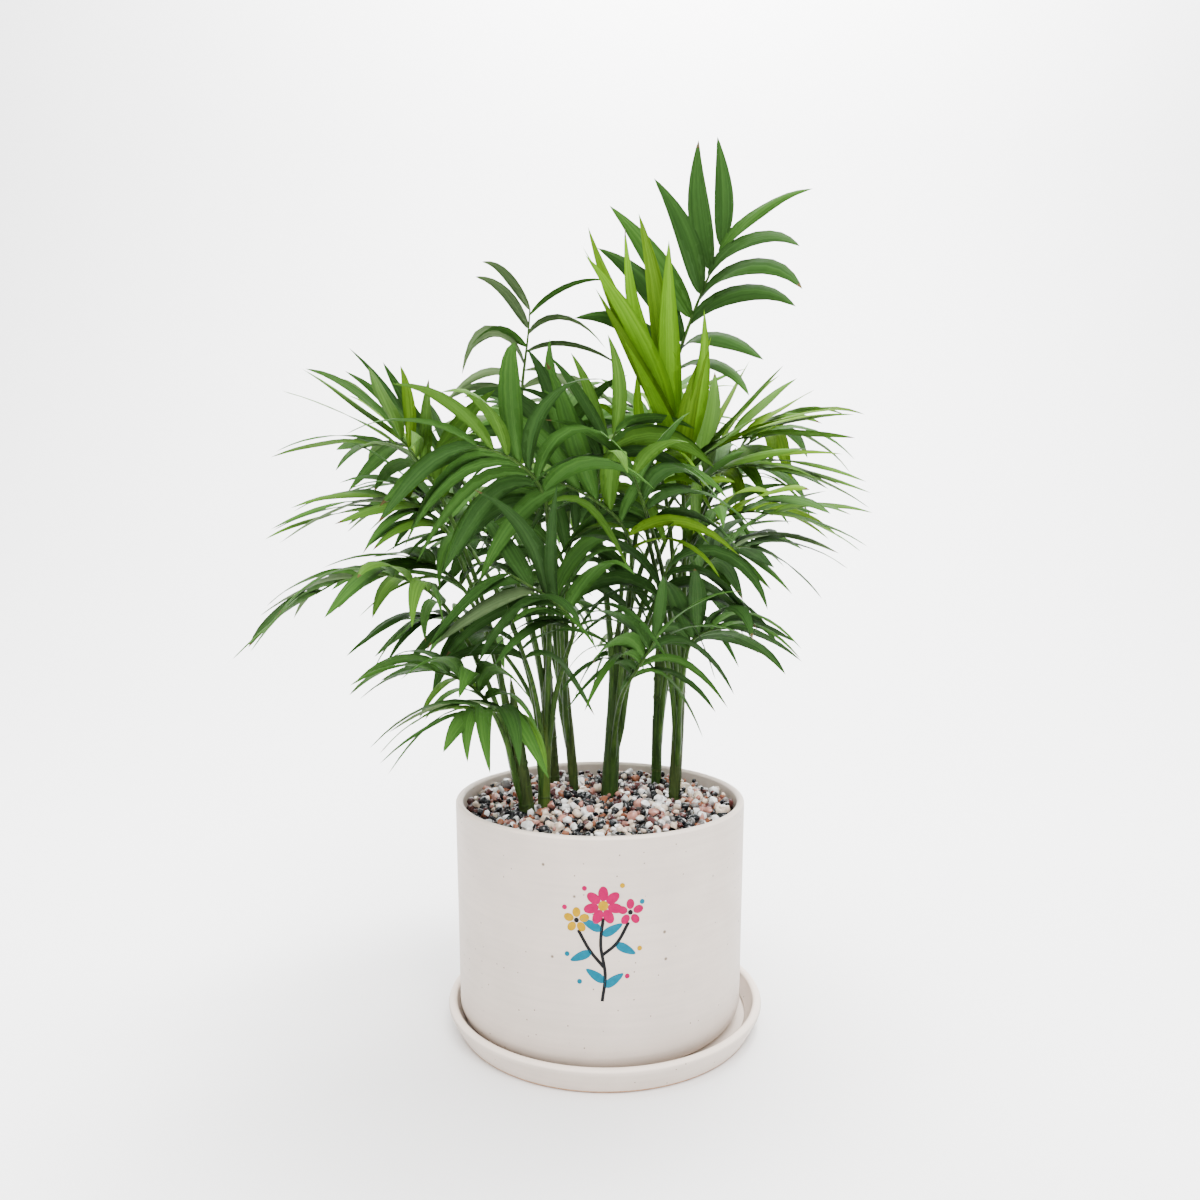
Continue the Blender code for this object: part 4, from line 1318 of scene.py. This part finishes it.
def stone_material(name, colour):
    finish = Finish(name, roughness=0.24, specular=0.5)
    finish.mottle(scale=220, detail=3, dark=toned(colour, 0.6), light=toned(colour, 1.3), stops=(0.35, 0.65))
    finish.bump(finish.noise(finish.place(), scale=1800, detail=2), 0.05 * MM)
    return finish.material

# %% Lay the chips
CHIP_PITCH = 4.3 * MM
CHIP_EDGE = 68.0 * MM
CHIP_SHARP = 50

# The distance of the rows and the jitter as shares of the pitch, and how far a stone may lie above or below
# its layer, in millimetres
CHIP_ROW = 0.87
CHIP_JITTER = 0.3
CHIP_UNEVEN = 0.4

# The smallest and the largest stone, and the ranges of its breadth and height as shares of its length
CHIP_RADII = (1.6 * MM, 4.0 * MM)
CHIP_BREADTHS = (0.55, 0.95)
CHIP_HEIGHTS = (0.6, 0.8)

# Each layer's share of the places, its lift over the soil and the radius that it starts at
LAYERS = ((1.0, 0.8 * MM, 0.0), (0.5, 2.9 * MM, 0.0), (0.6, 4.5 * MM, 57.0 * MM))


def chip_places(chance):
    """Spots on a jittered grid of rows, clear of the canes. The last layer is a heap along the pot's wall."""
    feet = [(cane_axis(cane, 0), cane.radius * MM) for cane in CANES]
    count = int(CHIP_EDGE / CHIP_PITCH) + 1
    for share, lift, inner in LAYERS:
        for row in range(-count, count + 1):
            for column in range(-count, count + 1):
                spot = Vector(((column + row % 2 / 2) * CHIP_PITCH, row * CHIP_PITCH * CHIP_ROW, 0))
                spot += Vector((chance.uniform(-1, 1), chance.uniform(-1, 1), 0)) * (CHIP_PITCH * CHIP_JITTER)
                on_cane = any(math.hypot(spot.x - foot.x, spot.y - foot.y) < wide for foot, wide in feet)
                if inner < spot.length < CHIP_EDGE and not on_cane and chance.random() < share:
                    uneven = chance.uniform(-CHIP_UNEVEN, CHIP_UNEVEN) * MM
                    yield spot + UP * (bed_height(spot.length) + lift + uneven)


def laid_chip(spot, chance):
    """Points and faces of one stone at a spot, with a shape, a size, a flatness and a turn by chance."""
    points, faces = chance.choice(CHIP_SHAPES)
    size = mixed(CHIP_RADII, 0, chance.random() ** 2)
    breadth = size * chance.uniform(*CHIP_BREADTHS)
    scale = Matrix.Diagonal((size, breadth, size * chance.uniform(*CHIP_HEIGHTS)))
    turn = Matrix.Rotation(chance.uniform(0, 2 * math.pi), 3, random_way(chance))
    return (points @ np.array(turn @ scale).T + np.array(spot)).tolist(), faces


stones = {name: [] for name in STONES}
weights = [weight for colour, weight in STONES.values()]
for spot in chip_places(chip_chance):
    name = chip_chance.choices(list(STONES), weights)[0]
    stones[name].append(laid_chip(spot, chip_chance))

for name, (colour, weight) in STONES.items():
    stone = stone_material("stone_" + name, colour)
    add_piece(joined_mesh("gravel_" + name, stones[name], CHIP_SHARP), [stone], "gravel")

# %% [markdown]
# The front of the pot has a small sprig of flowers printed in pink, turquoise, yellow and black. A print
# could be a picture, but flat shapes need no file: each is a disc or a strip in the plane that is bent
# round the pot, given a hair's thickness, and laid just proud of the glaze.

# %% Print on the pot
PRINT_LIFT = 0.08 * MM
PRINT_WALL = 0.06 * MM
PRINT_CENTRE = (1.0 * MM, 71.0 * MM)
PRINT_SCALE = 1.15
SAME_INK_POINT = 0.001 * MM
BLOB_SEGMENTS = 28
STRIP_STEPS = 6
PRINT_COLOURS = {
    "pink": (0.3, 0.0, 0.06),
    "turquoise": (0.0, 0.11, 0.17),
    "yellow": (0.35, 0.2, 0.0),
    "black": (0.01, 0.01, 0.011),
}


def wrap_on_pot(bm):
    """Bends flat shapes, drawn in x and y about the print's centre, round the front of the pot."""
    low = POT_FOOT_Z + POT_EDGE_RADIUS
    for vert in bm.verts:
        height = PRINT_CENTRE[1] + vert.co.y * PRINT_SCALE
        share = (height - low) / (POT_RIM_Z - low)
        radius = POT_FOOT_RADIUS + (POT_RIM_RADIUS - POT_FOOT_RADIUS) * share + PRINT_LIFT
        turn = (PRINT_CENTRE[0] + vert.co.x * PRINT_SCALE) / radius
        vert.co = (radius * math.sin(turn), -radius * math.cos(turn), height)


def add_blob(bm, x, y, length, width, angle=0.0, point=0.0):
    """An oval of a length and a width, turned by angle in degrees. Point draws its far end out."""
    made = bmesh.ops.create_circle(bm, cap_ends=True, cap_tris=True, segments=BLOB_SEGMENTS, radius=0.5)
    turn = Matrix.Rotation(math.radians(angle), 2)
    for vert in made["verts"]:
        along = vert.co.x + 0.5
        spot = turn @ Vector((along * length, vert.co.y * (1 - point * along) * width))
        vert.co = ((x + spot.x) * MM, (y + spot.y) * MM, 0)


def add_strip(bm, points, width):
    """A line of a width in millimetres along a smooth path through (x, y) points."""
    path = smooth_path([Vector((x, y, 0)) for x, y in points], STRIP_STEPS)
    ways = path_ways(path)
    made = bmesh.ops.create_grid(bm, x_segments=len(path) - 1, y_segments=1, size=1.0)
    for vert in made["verts"]:
        place = round((vert.co.x + 1) / 2 * (len(path) - 1))
        hand = 1 if vert.co.y > 0 else -1
        vert.co = (path[place] - ways[place].cross(UP) * (hand * width / 2)) * MM

# %% Sprig of flowers
# All sizes here are in millimetres from the print's centre, and all angles in degrees. A petal starts at a
# share of its flower's reach and is another share of it long.
PETAL_START = 0.25
PETAL_LENGTH = 0.8
STEM_WIDTH = 1.3
DOT_SIZE = 2.0
SPRIG_LEAF = (9.0, 4.6)
SPRIG_LEAF_POINT = 0.5
STEMS = (((0, -25), (1.2, -14), (-0.6, -2), (0.4, 9)), ((0.6, -11), (-5, -4), (-9.5, 4)),
         ((0.2, -6), (6, -1), (10.5, 7)))

# A flower has a colour, a middle, a number of petals, a reach and the width of a petal. A heart has a
# colour, its left end and a size, a leaf has its foot and an angle, and a dot has its left end.
FLOWERS = (("pink", 0.4, 14, 7, 7.5, 4.0), ("yellow", -10.2, 8, 5, 5.0, 3.2), ("pink", 11.2, 11, 5, 5.2, 3.2))
HEARTS = (("yellow", -1.6, 14, 4.0), ("black", -11.2, 8, 2.0), ("black", 10.2, 11, 2.0))
SPRIG_LEAVES = ((1.0, -19, 35), (1.0, -17, 145), (-4.5, -4.8, 205), (5.5, -1.6, -30), (0.2, 2, 30),
                (-0.4, 4, 150))
DOTS = ((-15, -6), (-16, 13), (14, -4), (15, 15), (-8, 21), (7, 22), (-10, -17), (9, -15))
DOT_COLOURS = ("turquoise", "pink", "yellow")


def add_flower(bm, x, y, petals, reach, width):
    for petal in range(petals):
        angle = 360 * petal / petals + 90
        start = Vector((math.cos(math.radians(angle)), math.sin(math.radians(angle)))) * reach * PETAL_START
        add_blob(bm, x + start.x, y + start.y, reach * PETAL_LENGTH, width, angle)


prints = {name: bmesh.new() for name in PRINT_COLOURS}
for name, *flower in FLOWERS:
    add_flower(prints[name], *flower)
for name, x, y, size in HEARTS:
    add_blob(prints[name], x, y, size, size)
for stem in STEMS:
    add_strip(prints["black"], stem, STEM_WIDTH)
for x, y, angle in SPRIG_LEAVES:
    add_blob(prints["turquoise"], x, y, *SPRIG_LEAF, angle, SPRIG_LEAF_POINT)
for i, (x, y) in enumerate(DOTS):
    add_blob(prints[DOT_COLOURS[i % len(DOT_COLOURS)]], x, y, DOT_SIZE, DOT_SIZE)

for name, print_bm in prints.items():
    bmesh.ops.remove_doubles(print_bm, verts=print_bm.verts[:], dist=SAME_INK_POINT)
    wrap_on_pot(print_bm)
    give_wall(print_bm, PRINT_WALL)
    face_outwards(print_bm)
    ink = Finish("ink_" + name, roughness=0.6, specular=0.04)
    colour = PRINT_COLOURS[name]
    ink.mottle(scale=500, detail=3, dark=toned(colour, 0.9), light=toned(colour, 1.1))
    add_piece(mesh_from("print_" + name, print_bm), [ink.material], "pot", ["pot"])

# %% [markdown]
# A studio sweep has no corner: the floor runs back and curves up into the wall, so nothing but a soft fade
# shows behind the plant. It is the stage and not a part of the object.

# %% Floor and wall
SWEEP_FRONT = -2.5
SWEEP_BACK = 1.2
SWEEP_ROUND = 0.9
SWEEP_STEPS = 24
SWEEP_TOP = 3.0
SWEEP_HALF = 3.0
SWEEP_SHARP = 60
SWEEP_COLOUR = (0.9, 0.9, 0.905)
FLOOR_DROP = 0.2 * MM


def sweep_section():
    """Points (y, z) from the front of the floor, round the bend and up the wall."""
    bend = arc((SWEEP_BACK - SWEEP_ROUND, SWEEP_ROUND), SWEEP_ROUND, -90, 0, SWEEP_STEPS)
    return [(SWEEP_FRONT, 0.0)] + bend + [(SWEEP_BACK, SWEEP_TOP)]


sweep_bm = bmesh.new()
line = [sweep_bm.verts.new((-SWEEP_HALF, y, z - FLOOR_DROP)) for y, z in sweep_section()]
edges = [sweep_bm.edges.new(pair) for pair in zip(line, line[1:])]
grown = bmesh.ops.extrude_edge_only(sweep_bm, edges=edges)["geom"]
bmesh.ops.translate(sweep_bm, verts=only(bmesh.types.BMVert, grown), vec=(2 * SWEEP_HALF, 0, 0))
face_outwards(sweep_bm)
sweep = bpy.data.objects.new("sweep", mesh_from("sweep", sweep_bm, SWEEP_SHARP))
bpy.context.scene.collection.objects.link(sweep)
SWEEP_PAINT = Finish("sweep_paint", roughness=0.9, specular=0.1)
SWEEP_PAINT.colour(SWEEP_COLOUR)
sweep.data.materials.append(SWEEP_PAINT.material)

# %% [markdown]
# The light is that of a bright room: one large soft lamp high in front and a little to the right, another
# overhead, a weak and warmer one on the left, and a near-white world that fills the shadows. Large lamps
# keep every shadow soft. One more lamp, high behind the plant, shines on the wall, so the background fades
# from there.

# %% Lights
PLANT_MIDDLE = (0, 0, 0.2)
WORLD_COLOUR = (0.97, 0.98, 1.0, 1)
WORLD_STRENGTH = 1.15

Lamp = namedtuple("Lamp", "name place target size power colour")
LAMPS = (
    Lamp("key", (0.25, -1.15, 1.6), PLANT_MIDDLE, 1.0, 66, (1.0, 0.99, 0.97)),
    Lamp("fill", (-1.4, -0.8, 0.9), PLANT_MIDDLE, 1.2, 8, (1.0, 0.88, 0.74)),
    Lamp("top", (0.1, 0.25, 1.9), PLANT_MIDDLE, 1.2, 62, (1.0, 1.0, 1.0)),
    Lamp("wall", (0.25, 0.45, 1.9), (0.1, 1.2, 1.4), 0.8, 112, (1.0, 1.0, 1.0)),
)

for lamp in LAMPS:
    light = bpy.data.objects.new(lamp.name, bpy.data.lights.new(lamp.name, "AREA"))
    light.data.shape = "SQUARE"
    light.data.size = lamp.size
    light.data.energy = lamp.power
    light.data.color = lamp.colour
    light.location = lamp.place
    light.rotation_euler = (Vector(lamp.target) - Vector(lamp.place)).to_track_quat("-Z", "Y").to_euler()
    bpy.context.scene.collection.objects.link(light)

world = bpy.data.worlds.new("room")
world.use_nodes = True
sky = world.node_tree.nodes["Background"]
sky.inputs["Color"].default_value = WORLD_COLOUR
sky.inputs["Strength"].default_value = WORLD_STRENGTH
bpy.context.scene.world = world
print("lamps", sum(obj.type == "LIGHT" for obj in bpy.context.scene.objects))
